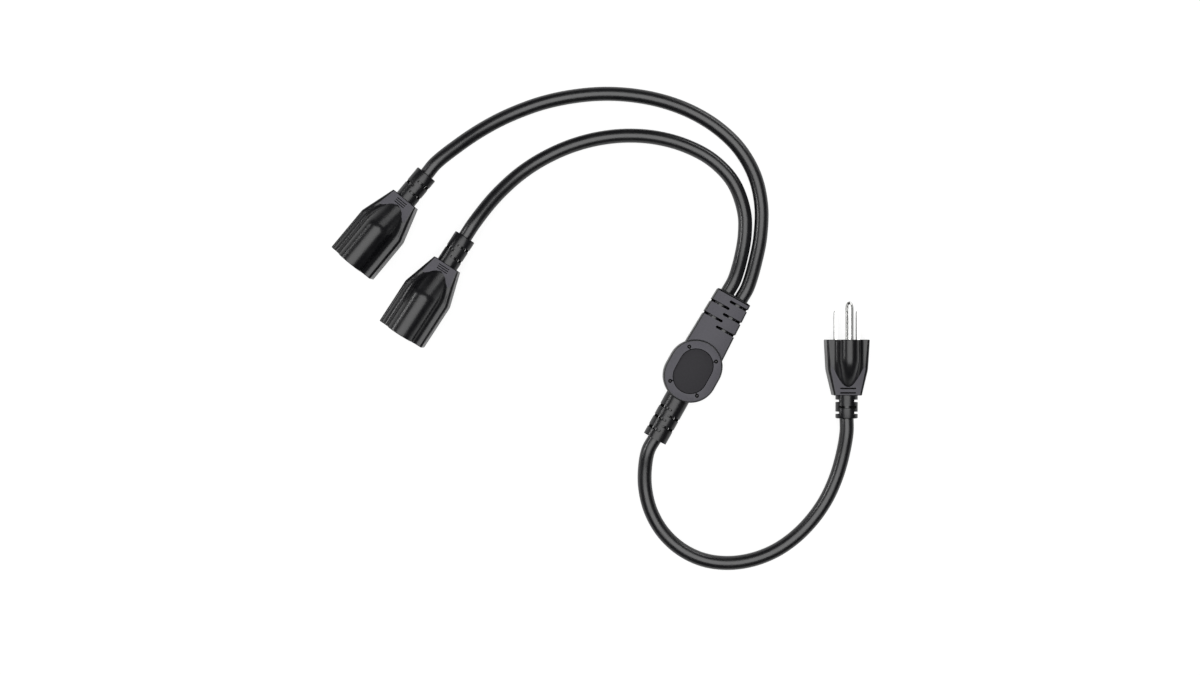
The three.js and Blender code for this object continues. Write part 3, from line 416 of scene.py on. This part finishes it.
def cut(target, tools):
    """Cuts each tool out of the target's mesh and deletes the tools."""
    for tool in tools:
        change = target.modifiers.new("cut", "BOOLEAN")
        change.operation = "DIFFERENCE"
        change.solver = "EXACT"
        change.object = tool
    depsgraph = bpy.context.evaluated_depsgraph_get()
    mesh = bpy.data.meshes.new_from_object(target.evaluated_get(depsgraph))
    target.modifiers.clear()
    target.data = mesh
    finishes = [face.material_index for face in mesh.polygons]
    mesh.materials.clear()
    for material in MOULDING:
        mesh.materials.append(material)
    mesh.polygons.foreach_set("material_index", finishes)
    for tool in tools:
        bpy.data.objects.remove(tool)


def along_x(section, start, stop):
    """A (y, z) section run along x."""
    return loft([[(x, *p) for p in section] for x in (start, stop)])


def along_z(section, start, stop):
    """An (x, y) section run up z."""
    return loft([[(*p, z) for p in section] for z in (start, stop)])


def rectangle(x, y):
    return [(x[0], y[0]), (x[1], y[0]), (x[1], y[1]), (x[0], y[1])]


ROUNDING_STEPS = 5


def rounded_rectangle(x, y, corner):
    left, right = x[0] + corner, x[1] - corner
    low, high = y[0] + corner, y[1] - corner
    return [
        *arc((right, low), corner, -90, 0, ROUNDING_STEPS),
        *arc((right, high), corner, 0, 90, ROUNDING_STEPS),
        *arc((left, high), corner, 90, 180, ROUNDING_STEPS),
        *arc((left, low), corner, 180, 270, ROUNDING_STEPS),
    ]


def stadium(length, width):
    radius = width / 2
    middle = length / 2 - radius
    return [
        *arc((middle, 0), radius, -90, 90, OUTLINE_STEPS),
        *arc((-middle, 0), radius, 90, 270, OUTLINE_STEPS),
    ]


SHARP_ANGLE = 32


def finish_piece(piece, place):
    piece.data.transform(place_matrix(place))
    piece.data.shade_smooth()
    piece.data.set_sharp_from_angle(angle=math.radians(SHARP_ANGLE))
    piece.data.update()


def mixed(a, b, t):
    return a + (b - a) * min(max(t, 0), 1)


def knots(x, points):
    """A value along x that runs straight between the given (x, value) points."""
    for (x0, v0), (x1, v1) in zip(points, points[1:]):
        if x <= x1:
            return mixed(v0, v1, (x - x0) / (x1 - x0))
    return points[-1][1]


def eased(x, points, reach):
    """knots, with each corner rounded over reach on both sides."""
    samples = 9
    offsets = [reach * (2 * i / (samples - 1) - 1) for i in range(samples)]
    return sum(knots(x + offset, points) for offset in offsets) / samples


# Moulded bodies
ARC_POINTS = 60
DOME_POINTS = 40
FLAT_POINTS = 8
CORNER_POINTS = 8
SIDE_POINTS = 6
END_EDGE = 0.35
EDGE_PART = 0.3  # of a rounded edge's reach, at which its middle ring stands
EDGE_INSET = 0.29  # of its reach, by which that ring is drawn in
RISE_END = 0.05
NARROWEST_TOP = 0.3


def glossy_top(radius, centre, fillet, shoulder):
    """The dome and its hollow fillet as (y, z) points from the middle outwards."""
    rise = shoulder + fillet - centre
    if rise >= radius + fillet:
        return [(0, shoulder), (PAST, shoulder)]
    side = math.sqrt((radius + fillet) ** 2 - rise**2)
    meet = math.degrees(math.atan2(rise, side))
    dome = arc((0, centre), radius, 90, max(meet, 0), ARC_POINTS)
    hollow = arc((side, shoulder + fillet), fillet, -180 + meet, -90, ARC_POINTS)
    return dome + [p for p in hollow if p[0] > dome[-1][0]]


def cut_at(points, level):
    """The line up to where it sinks to the level."""
    if points[0][1] <= level:
        return [(0, level)]
    for i, (a, b) in enumerate(zip(points, points[1:])):
        if b[1] < level:
            part = (a[1] - level) / (a[1] - b[1])
            return points[: i + 1] + [(a[0] + (b[0] - a[0]) * part, level)]
    return points


def within(points, reach):
    """The line up to this distance from the middle."""
    for i, (a, b) in enumerate(zip(points, points[1:])):
        if b[0] > reach:
            part = (reach - a[0]) / (b[0] - a[0])
            return points[: i + 1] + [(reach, a[1] + (b[1] - a[1]) * part)]
    return points


def body_section(top, flat_level, half_width, corner, low, low_corner, keel):
    """A closed (y, z) outline, built as one half from the top's middle to the underside's middle."""
    edge = half_width - corner
    top = within(top, edge - RISE_END)
    if top[-1][0] < NARROWEST_TOP:
        top = [top[0], (NARROWEST_TOP, flat_level)]
    dome = resampled(top, DOME_POINTS)
    flat = resampled([dome[-1], (edge, flat_level)], FLAT_POINTS)
    shoulder = arc((edge, flat_level - corner), corner, 90, 0, CORNER_POINTS)
    side = resampled([(half_width, flat_level - corner), (half_width, low + low_corner)], SIDE_POINTS)
    foot = arc((half_width - low_corner, low + low_corner), low_corner, 0, -90, CORNER_POINTS)
    under = resampled([(half_width - low_corner, low), keel[0]], FLAT_POINTS)
    half = dome + flat[1:] + shoulder[1:] + side[1:] + foot[1:] + under[1:] + keel[1:]
    return half + [(-y, z) for y, z in reversed(half[1:-1])]


def stations(length, step):
    """Places along a body, closer together at its two rounded end edges."""
    count = round(length / step)
    even = [length * i / count for i in range(1, count)]
    part = EDGE_PART * END_EDGE
    inset = EDGE_INSET * END_EDGE
    front = [(0, END_EDGE), (part, inset), (END_EDGE, 0)]
    back = [(length - END_EDGE, 0), (length - part, inset), (length, END_EDGE)]
    return front + [(x, 0) for x in even if END_EDGE < x < length - END_EDGE] + back


def shell(section, length, step):
    """Lofts a body through its sections."""
    rings = [(x, shrunk(section(x), inset)) for x, inset in stations(length, step)]
    return loft([[(x, y, z) for y, z in ring] for x, ring in rings])


def relief(diameter, start, stop, height, slots):
    """A strain relief sleeve along x with a rounded rim at its stop, cut by its slots."""
    outer = diameter / 2
    inner = RELIEF_BORE / 2
    part = EDGE_PART * RELIEF_RIM
    profile = [
        (start, inner),
        (start, outer),
        (stop - RELIEF_RIM, outer),
        (stop - part, outer - part),
        (stop, outer - RELIEF_RIM),
        (stop, inner + RELIEF_LIP),
        (stop - RELIEF_LIP, inner),
    ]
    shape = bmesh.new()
    rows = []
    for i in range(RELIEF_TURNS):
        angle = 2 * math.pi * i / RELIEF_TURNS
        cosine, sine = math.cos(angle), math.sin(angle)
        rows.append([shape.verts.new((x, r * cosine, height + r * sine)) for x, r in profile])
    for i in range(RELIEF_TURNS):
        a, b = rows[i], rows[(i + 1) % RELIEF_TURNS]
        for j in range(len(profile)):
            k = (j + 1) % len(profile)
            shape.faces.new((a[j], b[j], b[k], a[k]))
    bmesh.ops.recalc_face_normals(shape, faces=shape.faces)
    sleeve = scratch("sleeve", shape)
    # The slots' cut faces get the painted shade finish
    cut(sleeve, [scratch("slot", slot, PAINTED_SHADE) for slot in slots])
    return sleeve


def half_slot(middle, side, past, height, outer):
    """A round-ended slot through one half of a sleeve or block, side +1 or -1 in y, bridged by a web."""
    reach = outer + PAST
    half = RELIEF_SLOT / 2
    web = SLOT_WEB / 2
    bridge = outer - SLOT_SETBACK
    rings = []
    for angle in range(-90, 91, 15):
        x = middle + half * math.sin(math.radians(angle))
        inner = half * (1 - math.cos(math.radians(angle))) - past
        outline = (
            (inner, -reach), (reach, -reach), (reach, reach), (inner, reach),
            (inner, web), (bridge, web), (bridge, -web), (inner, -web),
        )
        rings.append([(x, side * y, height + z) for y, z in outline])
    return loft(rings)


def join_into(target, others):
    for other in others:
        merged = bmesh.new()
        merged.from_mesh(target.data)
        merged.from_mesh(other.data)
        target.data = to_mesh(target.name, merged)
        for material in MOULDING:
            target.data.materials.append(material)
        bpy.data.objects.remove(other)


def snout_sections(grow):
    """The outlines of the three snouts in (y, z)."""
    outlines = []
    for y, height in ((POLE_SPACING / 2, LINE_SNOUT), (-POLE_SPACING / 2, NEUTRAL_SNOUT)):
        across = SNOUT_HALF_WIDTH + grow
        rise = height / 2 + grow
        upright = (POLE_LINE - rise, POLE_LINE + rise)
        outlines.append(rounded_rectangle((y - across, y + across), upright, SNOUT_CORNER))
    ground = POLE_LINE + GROUND_RISE
    half = GROUND_SNOUT + grow
    corner = GROUND_SNOUT_CORNER
    edge = half - corner
    top = ground + GROUND_SNOUT_RISE + grow - corner
    outlines.append([
        *arc((0, ground - GROUND_SNOUT_RISE - grow + half), half, 180, 360, 24),
        *arc((edge, top), corner, 0, 90, 4),
        *arc((-edge, top), corner, 90, 180, 4),
    ])
    return outlines


def core_section(grow):
    rim = CORE_RIM + grow
    wide = POLE_SPACING / 2 + SNOUT_HALF_WIDTH + rim
    high = NEUTRAL_SNOUT / 2 + rim
    narrow = GROUND_SNOUT + rim
    top = POLE_LINE + GROUND_RISE + GROUND_SNOUT_RISE + rim
    return [
        (-wide, POLE_LINE - high), (wide, POLE_LINE - high), (wide, POLE_LINE + high),
        (narrow, POLE_LINE + high), (narrow, top), (-narrow, top),
        (-narrow, POLE_LINE + high), (-wide, POLE_LINE + high),
    ]


def saddle_level(x, edge, hidden, saddle):
    """The saddle's height along the body: it stays hidden inside as far as its edge."""
    return knots(x, ((0, hidden), (edge, hidden), *saddle))


def receptacle_section(x):
    half_width = eased(x, HALF_WIDTHS, WIDTH_EASING)
    shoulder = eased(x, SHOULDERS, SHOULDER_EASING)
    flat = max(shoulder, saddle_level(x, SADDLE_EDGE, SADDLE_HIDDEN, SADDLE))
    centre = DOME_CENTRE - eased(x, DOME_SINKS, DOME_EASING)
    top = cut_at(glossy_top(DOME_RADIUS, centre, DOME_FILLET, shoulder), flat)
    rise = eased(x, KEEL_RISES, KEEL_EASING)
    keel = KEEL_WIDTH / 2
    foot = [(y, min(z + rise, KEEL_HEIGHT)) for y, z in arc((0, keel), keel, 0, -90, KEEL_STEPS)]
    tongue = [(keel, KEEL_HEIGHT), *foot]
    return body_section(top, flat, half_width, knots(x, CORNERS), KEEL_HEIGHT, LOW_CORNER, tongue)


def plug_section(x):
    half_width = eased(x, PLUG_HALF_WIDTHS, PLUG_WIDTH_EASING)
    past = max(x - PLUG_DOME_STRAIGHT, 0) ** 2
    away = max(x - PLUG_TAPER_AT, 0)
    radius = PLUG_DOME_RADIUS - PLUG_DOME_NARROWS * away
    fillet = PLUG_FILLET + PLUG_FILLET_GROWS * away
    shoulder = PLUG_HEIGHT - PLUG_SHOULDER_BEND * past - PLUG_SHOULDER_SLOPE * x
    centre = PLUG_AXIS + GROUND_RISE + PLUG_DOME_RADIUS - PLUG_DOME_BEND * past - radius
    flat = max(shoulder, saddle_level(x, PLUG_SADDLE_EDGE, PLUG_SADDLE_HIDDEN, PLUG_SADDLE))
    top = cut_at(glossy_top(radius, centre, fillet, shoulder), flat)
    corner = knots(x, PLUG_CORNERS)
    return body_section(top, flat, half_width, corner, 0, PLUG_LOW_CORNER, PLUG_UNDERSIDE)


SADDLE_LOOKS_UP = 0.985
SADDLE_NEAR = 0.12
GROOVE_FLAT = 0.02  # by which a groove's corner radius stays under half of its width


def paint_saddle(piece, start, saddle):
    """Gives the grained saddle its finish: the faces at its level that look up, behind its start."""
    for face in piece.data.polygons:
        x, _, z = face.center
        if x > start and face.normal.z > SADDLE_LOOKS_UP and abs(z - knots(x, saddle)) < SADDLE_NEAR:
            face.material_index = GRAINED


def grooves(saddle, count, first, spacing, length, width, depth):
    """Tools for a row of round-ended grooves across a saddle."""
    made = []
    half = width / 2
    for i in range(count):
        x = first + i * spacing
        level = knots(x, saddle)
        corner = half - GROOVE_FLAT
        outline = rounded_rectangle((x - half, x + half), (-length / 2, length / 2), corner)
        # The groove's cut faces get the painted shade finish
        made.append(scratch("groove", along_z(outline, level - depth, level + 3 * PAST), PAINTED_SHADE))
    return made


def receptacle(name):
    shape = shell(receptacle_section, RECEPTACLE_LENGTH, RECEPTACLE_STEP)
    body = moulding_piece(f"{name}_receptacle_shell", shape)
    depth = SNOUT_DEPTH + SNOUT_OVERLAP
    snouts = [along_x(outline, -PAST, depth) for outline in snout_sections(SNOUT_PLAY)]
    cut(body, [
        *(scratch("snout", snout) for snout in snouts),
        scratch("core", along_x(core_section(FIT), SNOUT_DEPTH - FIT, CAP_BACK + FIT)),
        *grooves(SADDLE, **RECEPTACLE_GROOVES),
    ])
    paint_saddle(body, SADDLE_EDGE, SADDLE)
    ribs = []
    for y in (RIB_ACROSS, -RIB_ACROSS):
        section = rounded_rectangle((y - RIB_HALF_WIDTH, y + RIB_HALF_WIDTH), RIB_HEIGHTS, RIB_CORNER)
        ribs.append(scratch("rib", along_x(section, *RIB_REACH)))
    slots = [
        half_slot(RECEPTACLE_END - at, side, SLOT_PAST_TOP, RECEPTACLE_AXIS, RELIEF_DIAMETER / 2)
        for side, places in ((1, FAR_SIDE_SLOTS), (-1, NEAR_SIDE_SLOTS))
        for at in places
    ]
    start = RECEPTACLE_LENGTH - RELIEF_SUNK
    sleeve = relief(RELIEF_DIAMETER, start, RECEPTACLE_END, RECEPTACLE_AXIS, slots)
    join_into(body, [*ribs, sleeve])
    finish_piece(body, name)
    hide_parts(f"{name}_receptacle_body")


def plug():
    body = moulding_piece("plug_shell", shell(plug_section, PLUG_LENGTH, PLUG_STEP))
    cut(body, grooves(PLUG_SADDLE, **PLUG_GROOVES))
    paint_saddle(body, PLUG_SADDLE_EDGE, PLUG_SADDLE)
    deep = CORD_DIAMETER / 2 - FIT
    out = PLUG_HEIGHT / 2
    half = RELIEF_SLOT / 2
    slots = []
    for at in PLUG_SIDE_SLOTS:
        x = (PLUG_END - at - half, PLUG_END - at + half)
        for y in ((deep, out), (-out, -deep)):
            slots.append(along_z(rectangle(x, y), PLUG_AXIS - out, PLUG_AXIS + out))
    x = (PLUG_END - PLUG_TOP_SLOT - half, PLUG_END - PLUG_TOP_SLOT + half)
    for z in ((PLUG_AXIS + deep, PLUG_AXIS + out), (PLUG_AXIS - out, PLUG_AXIS - deep)):
        slots.append(along_z(rectangle(x, (-out, out)), *z))
    sleeve = relief(RELIEF_DIAMETER, PLUG_LENGTH - RELIEF_SUNK, PLUG_END, PLUG_AXIS, slots)
    join_into(body, [sleeve])
    finish_piece(body, "plug")
    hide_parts("plug_body")


# Hub's body
LOOKS_UP = 0.98
NEAR_LEVEL = 0.1


def rounded_plate(outline, low, high, edge):
    """An outline run up z with rounded top and bottom edges."""
    part = EDGE_PART * edge
    levels = [(low, edge), (low + part, part), (low + edge, 0)]
    levels += [(high - edge, 0), (high - part, part), (high, edge)]
    return loft([[(x, y, z) for x, y in shrunk(outline, inset)] for z, inset in levels])


def mark_centres():
    return [Vector((x * MARK_AT[0], y * MARK_AT[1])) for x in (1, -1) for y in (1, -1)]


def hub_marks():
    """Tools for the four round marks in the disc's ring, each joined to the panel by a notch."""
    above = DISC_THICKNESS + PAST
    straight = (PANEL_LENGTH - PANEL_WIDTH) / 2
    tools = []
    for centre in mark_centres():
        inward = (Vector((math.copysign(straight, centre.x), 0)) - centre).normalized()
        across = inward.orthogonal() * NOTCH_HALF_WIDTH
        near, far = (centre + inward * reach for reach in NOTCH_REACH)
        notch = [tuple(p) for p in (near - across, far - across, far + across, near + across)]
        ring = circle(centre, MARK_RADIUS, 24)
        # The mark's and the notch's cut faces get the painted shade finish
        tools.append(scratch("mark", along_z(ring, DISC_THICKNESS - MARK_DEPTH, above), PAINTED_SHADE))
        tools.append(scratch("notch", along_z(notch, DISC_THICKNESS - NOTCH_DEPTH, above), PAINTED_SHADE))
    return tools


def hub_disc():
    """The disc with its recess for the panel: the panel stands in it with a thin gap all round."""
    top = DISC_THICKNESS
    outline = stadium(DISC_LENGTH, DISC_WIDTH)
    body = moulding_piece("hub_shell", rounded_plate(outline, 0, top, HUB_EDGE))
    floor_level = top - 2 * PANEL_DEPTH
    well = along_z(stadium(PANEL_LENGTH, PANEL_WIDTH), floor_level, top + PAST)
    # The well's faces, the marks and the notches get the painted shade finish
    cut(body, [scratch("well", well, PAINTED_SHADE), *hub_marks()])
    for face in body.data.polygons:
        if face.normal.z > LOOKS_UP and face.center.z > top - NEAR_LEVEL:
            face.material_index = GRAINED
    raised = stadium(PANEL_LENGTH - 2 * PANEL_GAP, PANEL_WIDTH - 2 * PANEL_GAP)
    heights = (floor_level - PANEL_SUNK, top - PANEL_DEPTH)
    plate = scratch("panel", rounded_plate(raised, *heights, PANEL_EDGE), PANEL)
    rings = [circle(centre, BUTTON_RADIUS, 12) for centre in mark_centres()]
    join_into(body, [plate, *(scratch("button", along_z(ring, *heights)) for ring in rings)])
    return body


def block_width(x):
    part = (x - BLOCK_ROOT_AT) / (BLOCK_REACH - BLOCK_BULGE - BLOCK_ROOT_AT)
    return mixed(BLOCK_ROOT_WIDTH, BLOCK_END_WIDTH, part)


def hub_block():
    """The block in which both branch cords end, with its slots."""
    root = BLOCK_ROOT_WIDTH / 2
    end = BLOCK_END_WIDTH / 2
    square = BLOCK_REACH - BLOCK_BULGE
    bulge = [(square + BLOCK_BULGE * x, end * y) for x, y in arc((0, 0), 1, -90, 90, 24)]
    outline = [(0, -root), (BLOCK_ROOT_AT, -root), *bulge, (BLOCK_ROOT_AT, root), (0, root)]
    half = BLOCK_THICKNESS / 2
    block = scratch("block", rounded_plate(outline, HUB_AXIS - half, HUB_AXIS + half, HUB_EDGE))
    bore = CORD_DIAMETER / 2 + FIT / 2
    rings = [circle((side * BRANCH_SPACING / 2, HUB_AXIS), bore, 36) for side in (1, -1)]
    bores = [along_x(ring, BRANCH_SEAT_AT, BLOCK_REACH + PAST) for ring in rings]
    slots = [
        half_slot(at, side, BLOCK_SLOT_PAST, HUB_AXIS, block_width(at) / 2)
        for side, places in ((-1, BLOCK_SLOTS_RIGHT), (1, BLOCK_SLOTS_LEFT))
        for at in places
    ]
    # The bores' and slots' cut faces get the painted shade finish
    cut(block, [scratch("opening", shape, PAINTED_SHADE) for shape in bores + slots])
    for face in block.data.polygons:
        if abs(face.normal.z) > LOOKS_UP and abs(face.center.z - HUB_AXIS) > half - NEAR_LEVEL:
            face.material_index = GRAINED
    return block


def hub():
    body = hub_disc()
    slots = [
        half_slot(-at, side, SLOT_PAST_TOP, HUB_AXIS, HUB_RELIEF_DIAMETER / 2)
        for side, places in ((-1, HUB_SLOTS_RIGHT), (1, HUB_SLOTS_LEFT))
        for at in places
    ]
    sleeve = relief(HUB_RELIEF_DIAMETER, -HUB_RELIEF_START, -HUB_RELIEF_REACH, HUB_AXIS, slots)
    join_into(body, [hub_block(), sleeve])
    finish_piece(body, "hub")
    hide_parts("hub_body")


# Cords
OUTER_ROUTE = [
    (-80.8, 91.1, 13.2), (-69.8, 99.1, 9.6), (-58, 106.1, 6.8), (-45.6, 111.8, 5), (-32.6, 116.3, 4.2),
    (-15.7, 119.8, ON_TABLE), (1.4, 121.2, ON_TABLE), (18.5, 120.2, ON_TABLE), (35.4, 116.8, ON_TABLE),
    (51.5, 110.7, ON_TABLE), (66.2, 101.7, ON_TABLE), (78.6, 89.7, ON_TABLE), (87.2, 74.6, ON_TABLE),
    (91, 57.6, 4.2), (90.5, 40.3, 4.8), (88, 27.3, 6.2),
]
INNER_ROUTE = [
    (-63.3, 58.3, 13), (-55.5, 67, 9.8), (-46.4, 75.3, 7), (-35.1, 83.1, 5), (-19.6, 90.6, 4.15),
    (-3, 95.4, ON_TABLE), (14.1, 97.3, ON_TABLE), (31.3, 96.1, ON_TABLE), (48, 91.5, ON_TABLE),
    (63.2, 83.3, ON_TABLE), (75.1, 70.6, ON_TABLE), (81.2, 54, 4.2), (81.6, 41.2, 4.8), (79.4, 28.2, 6.2),
]
TRUNK_ROUTE = [
    (24.6, -92.5, 6.4), (24.8, -104, 4.7), (27.9, -116.7, 4.15), (34.8, -128.9, ON_TABLE),
    (45.1, -138.6, ON_TABLE), (57.8, -144.7, ON_TABLE), (71.7, -146.6, ON_TABLE), (85.6, -144.8, ON_TABLE),
    (98.6, -139.8, ON_TABLE), (110.1, -132, ON_TABLE), (119.9, -122.1, ON_TABLE), (127.8, -110.7, 4.15),
    (133.5, -98.1, 4.7), (137.2, -84.8, 6.1),
]


def straight_end(place, seat, exit_at, y, z):
    """The straight stretch from inside a body to just past its strain relief, in metres."""
    out = math.copysign(1, exit_at - seat)
    stretch = (seat, (seat + exit_at) / 2, exit_at, exit_at + out * EXIT_STRAIGHT)
    return [place_matrix(place) @ Vector((x, y, z)) for x in stretch]


def centripetal(points, per_span):
    """A smooth line through the points, as the CAD's curve runs."""
    ends = [points[0] * 2 - points[1], *points, points[-1] * 2 - points[-2]]
    line = []
    for p0, p1, p2, p3 in zip(ends, ends[1:], ends[2:], ends[3:]):
        d0, d1, d2 = (max((b - a).length ** 0.5, 1e-6) for a, b in ((p0, p1), (p1, p2), (p2, p3)))
        m1 = ((p1 - p0) / d0 - (p2 - p0) / (d0 + d1) + (p2 - p1) / d1) * d1
        m2 = ((p2 - p1) / d1 - (p3 - p1) / (d1 + d2) + (p3 - p2) / d2) * d1
        for i in range(per_span):
            t = i / per_span
            line.append(
                (2 * t**3 - 3 * t**2 + 1) * p1 + (t**3 - 2 * t**2 + t) * m1
                + (3 * t**2 - 2 * t**3) * p2 + (t**3 - t**2) * m2
            )
    return [*line, points[-1]]


CORD_STEPS = 6
CORD_ROUNDNESS = 10


def cord(name, start, route, end):
    points = centripetal([*start, *(Vector(p) * MM for p in route), *reversed(end)], CORD_STEPS)
    curve = bpy.data.curves.new(name, "CURVE")
    curve.dimensions = "3D"
    curve.bevel_depth = CORD_DIAMETER / 2 * MM
    curve.bevel_resolution = CORD_ROUNDNESS
    curve.use_fill_caps = True
    spline = curve.splines.new("POLY")
    spline.points.add(len(points) - 1)
    for point, place in zip(spline.points, points):
        point.co = (*place, 1)
    spline.use_smooth = True
    piece = new_piece(f"{name}_jacket", curve, "jacket", jacket)
    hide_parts(name)


hub_exit = straight_end("hub", -DISC_LENGTH / 2, -HUB_RELIEF_REACH, 0, HUB_AXIS)
plug_exit = straight_end("plug", PLUG_LENGTH - CORD_SEAT, PLUG_END, 0, PLUG_AXIS)
cord("trunk_cord", hub_exit, TRUNK_ROUTE, plug_exit)
for name, side, route in (("outer", -1, OUTER_ROUTE), ("inner", 1, INNER_ROUTE)):
    branch_exit = straight_end("hub", BRANCH_SEAT_AT, BLOCK_REACH, side * BRANCH_SPACING / 2, HUB_AXIS)
    own_exit = straight_end(name, RECEPTACLE_LENGTH - CORD_SEAT, RECEPTACLE_END, 0, RECEPTACLE_AXIS)
    cord(f"{name}_branch_cord", own_exit, route, branch_exit)

receptacle("outer")
receptacle("inner")
plug()
hub()


# Finishes of the CAD nodes that stay
def paint(node, material):
    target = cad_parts[node]
    target.data.materials.clear()
    target.data.materials.append(material)


for node in ("plug_bridge", "splice_tray"):
    paint(node, carrier)
for name in ("outer", "inner"):
    paint(f"{name}_receptacle_core", carrier)
    paint(f"{name}_receptacle_cap", carrier)
for node in ("plug_line_blade", "plug_neutral_blade", "plug_ground_pin"):
    paint(node, nickel)
for pole in POLES:
    paint(f"{pole}_splice", brass)
    for name in ("outer", "inner"):
        paint(f"{name}_{pole}_contact", brass)
        paint(f"{name}_{pole}_lead", LEAD_FINISH[pole])
        paint(f"hub_{name}_{pole}_lead", LEAD_FINISH[pole])
    paint(f"hub_trunk_{pole}_lead", LEAD_FINISH[pole])
    paint(f"plug_{pole}_lead", LEAD_FINISH[pole])


# Table, backdrop and lights
FLOOR_SIZE = 6
TABLE_COLOUR = (0.75, 0.75, 0.75, 1)
SHADED_COLOUR = (0.2, 0.2, 0.2, 1)
TABLE_GLOW = 0.86
WORLD_LEVELS = (0.03, 1)  # in reflections, and where the camera sees it


def white_table():
    """A pale matt table that the camera sees nearly white, with the shadows kept faint."""
    material, nodes, links, shader = new_material("table")
    nodes.remove(shader)
    output = nodes["Material Output"]
    paths = nodes.new("ShaderNodeLightPath")
    matt = nodes.new("ShaderNodeBsdfDiffuse")
    matt.inputs["Color"].default_value = TABLE_COLOUR
    faint = nodes.new("ShaderNodeBsdfDiffuse")
    faint.inputs["Color"].default_value = SHADED_COLOUR
    glow = nodes.new("ShaderNodeEmission")
    glow.inputs["Color"].default_value = (1, 1, 1, 1)
    glow.inputs["Strength"].default_value = TABLE_GLOW
    seen = nodes.new("ShaderNodeAddShader")
    mix = nodes.new("ShaderNodeMixShader")
    links.new(faint.outputs["BSDF"], seen.inputs[0])
    links.new(glow.outputs["Emission"], seen.inputs[1])
    links.new(paths.outputs["Is Camera Ray"], mix.inputs["Fac"])
    links.new(matt.outputs["BSDF"], mix.inputs[1])
    links.new(seen.outputs["Shader"], mix.inputs[2])
    links.new(mix.outputs["Shader"], output.inputs["Surface"])
    return material


floor_shape = bmesh.new()
half_floor = FLOOR_SIZE / 2
across = (-half_floor, half_floor)
floor_shape.faces.new([floor_shape.verts.new((x, y, 0)) for x, y in rectangle(across, across)])
floor = bpy.data.objects.new("table", to_mesh("table", floor_shape))
bpy.context.collection.objects.link(floor)
floor.data.materials.append(white_table())

world = bpy.data.worlds.new("world")
bpy.context.scene.world = world
world.use_nodes = True
world_nodes = world.node_tree.nodes
world_links = world.node_tree.links
background = world_nodes["Background"]
background.inputs["Color"].default_value = (1, 1, 1, 1)
world_paths = world_nodes.new("ShaderNodeLightPath")
world_level = world_nodes.new("ShaderNodeMapRange")
world_level.inputs["To Min"].default_value, world_level.inputs["To Max"].default_value = WORLD_LEVELS
world_links.new(world_paths.outputs["Is Camera Ray"], world_level.inputs["Value"])
world_links.new(world_level.outputs["Result"], background.inputs["Strength"])


def softbox(name, place, aim, size, watts):
    lamp = bpy.data.lights.new(name, "AREA")
    lamp.shape = "RECTANGLE"
    lamp.size, lamp.size_y = size
    lamp.energy = watts
    box = bpy.data.objects.new(name, lamp)
    box.location = place
    box.rotation_euler = (Vector(aim) - Vector(place)).to_track_quat("-Z", "Y").to_euler()
    bpy.context.collection.objects.link(box)


softbox("overhead", place=(0.05, -0.05, 1.35), aim=(0.05, -0.05, 0), size=(1.5, 1.5), watts=24)
softbox("left", place=(-1.2, 0.3, 0.5), aim=(0, 0, 0), size=(0.9, 0.2), watts=6)
softbox("far", place=(0.7, 0.95, 0.22), aim=(-0.1, 0, 0), size=(0.6, 0.3), watts=2.5)

bpy.context.scene.view_settings.view_transform = "Standard"
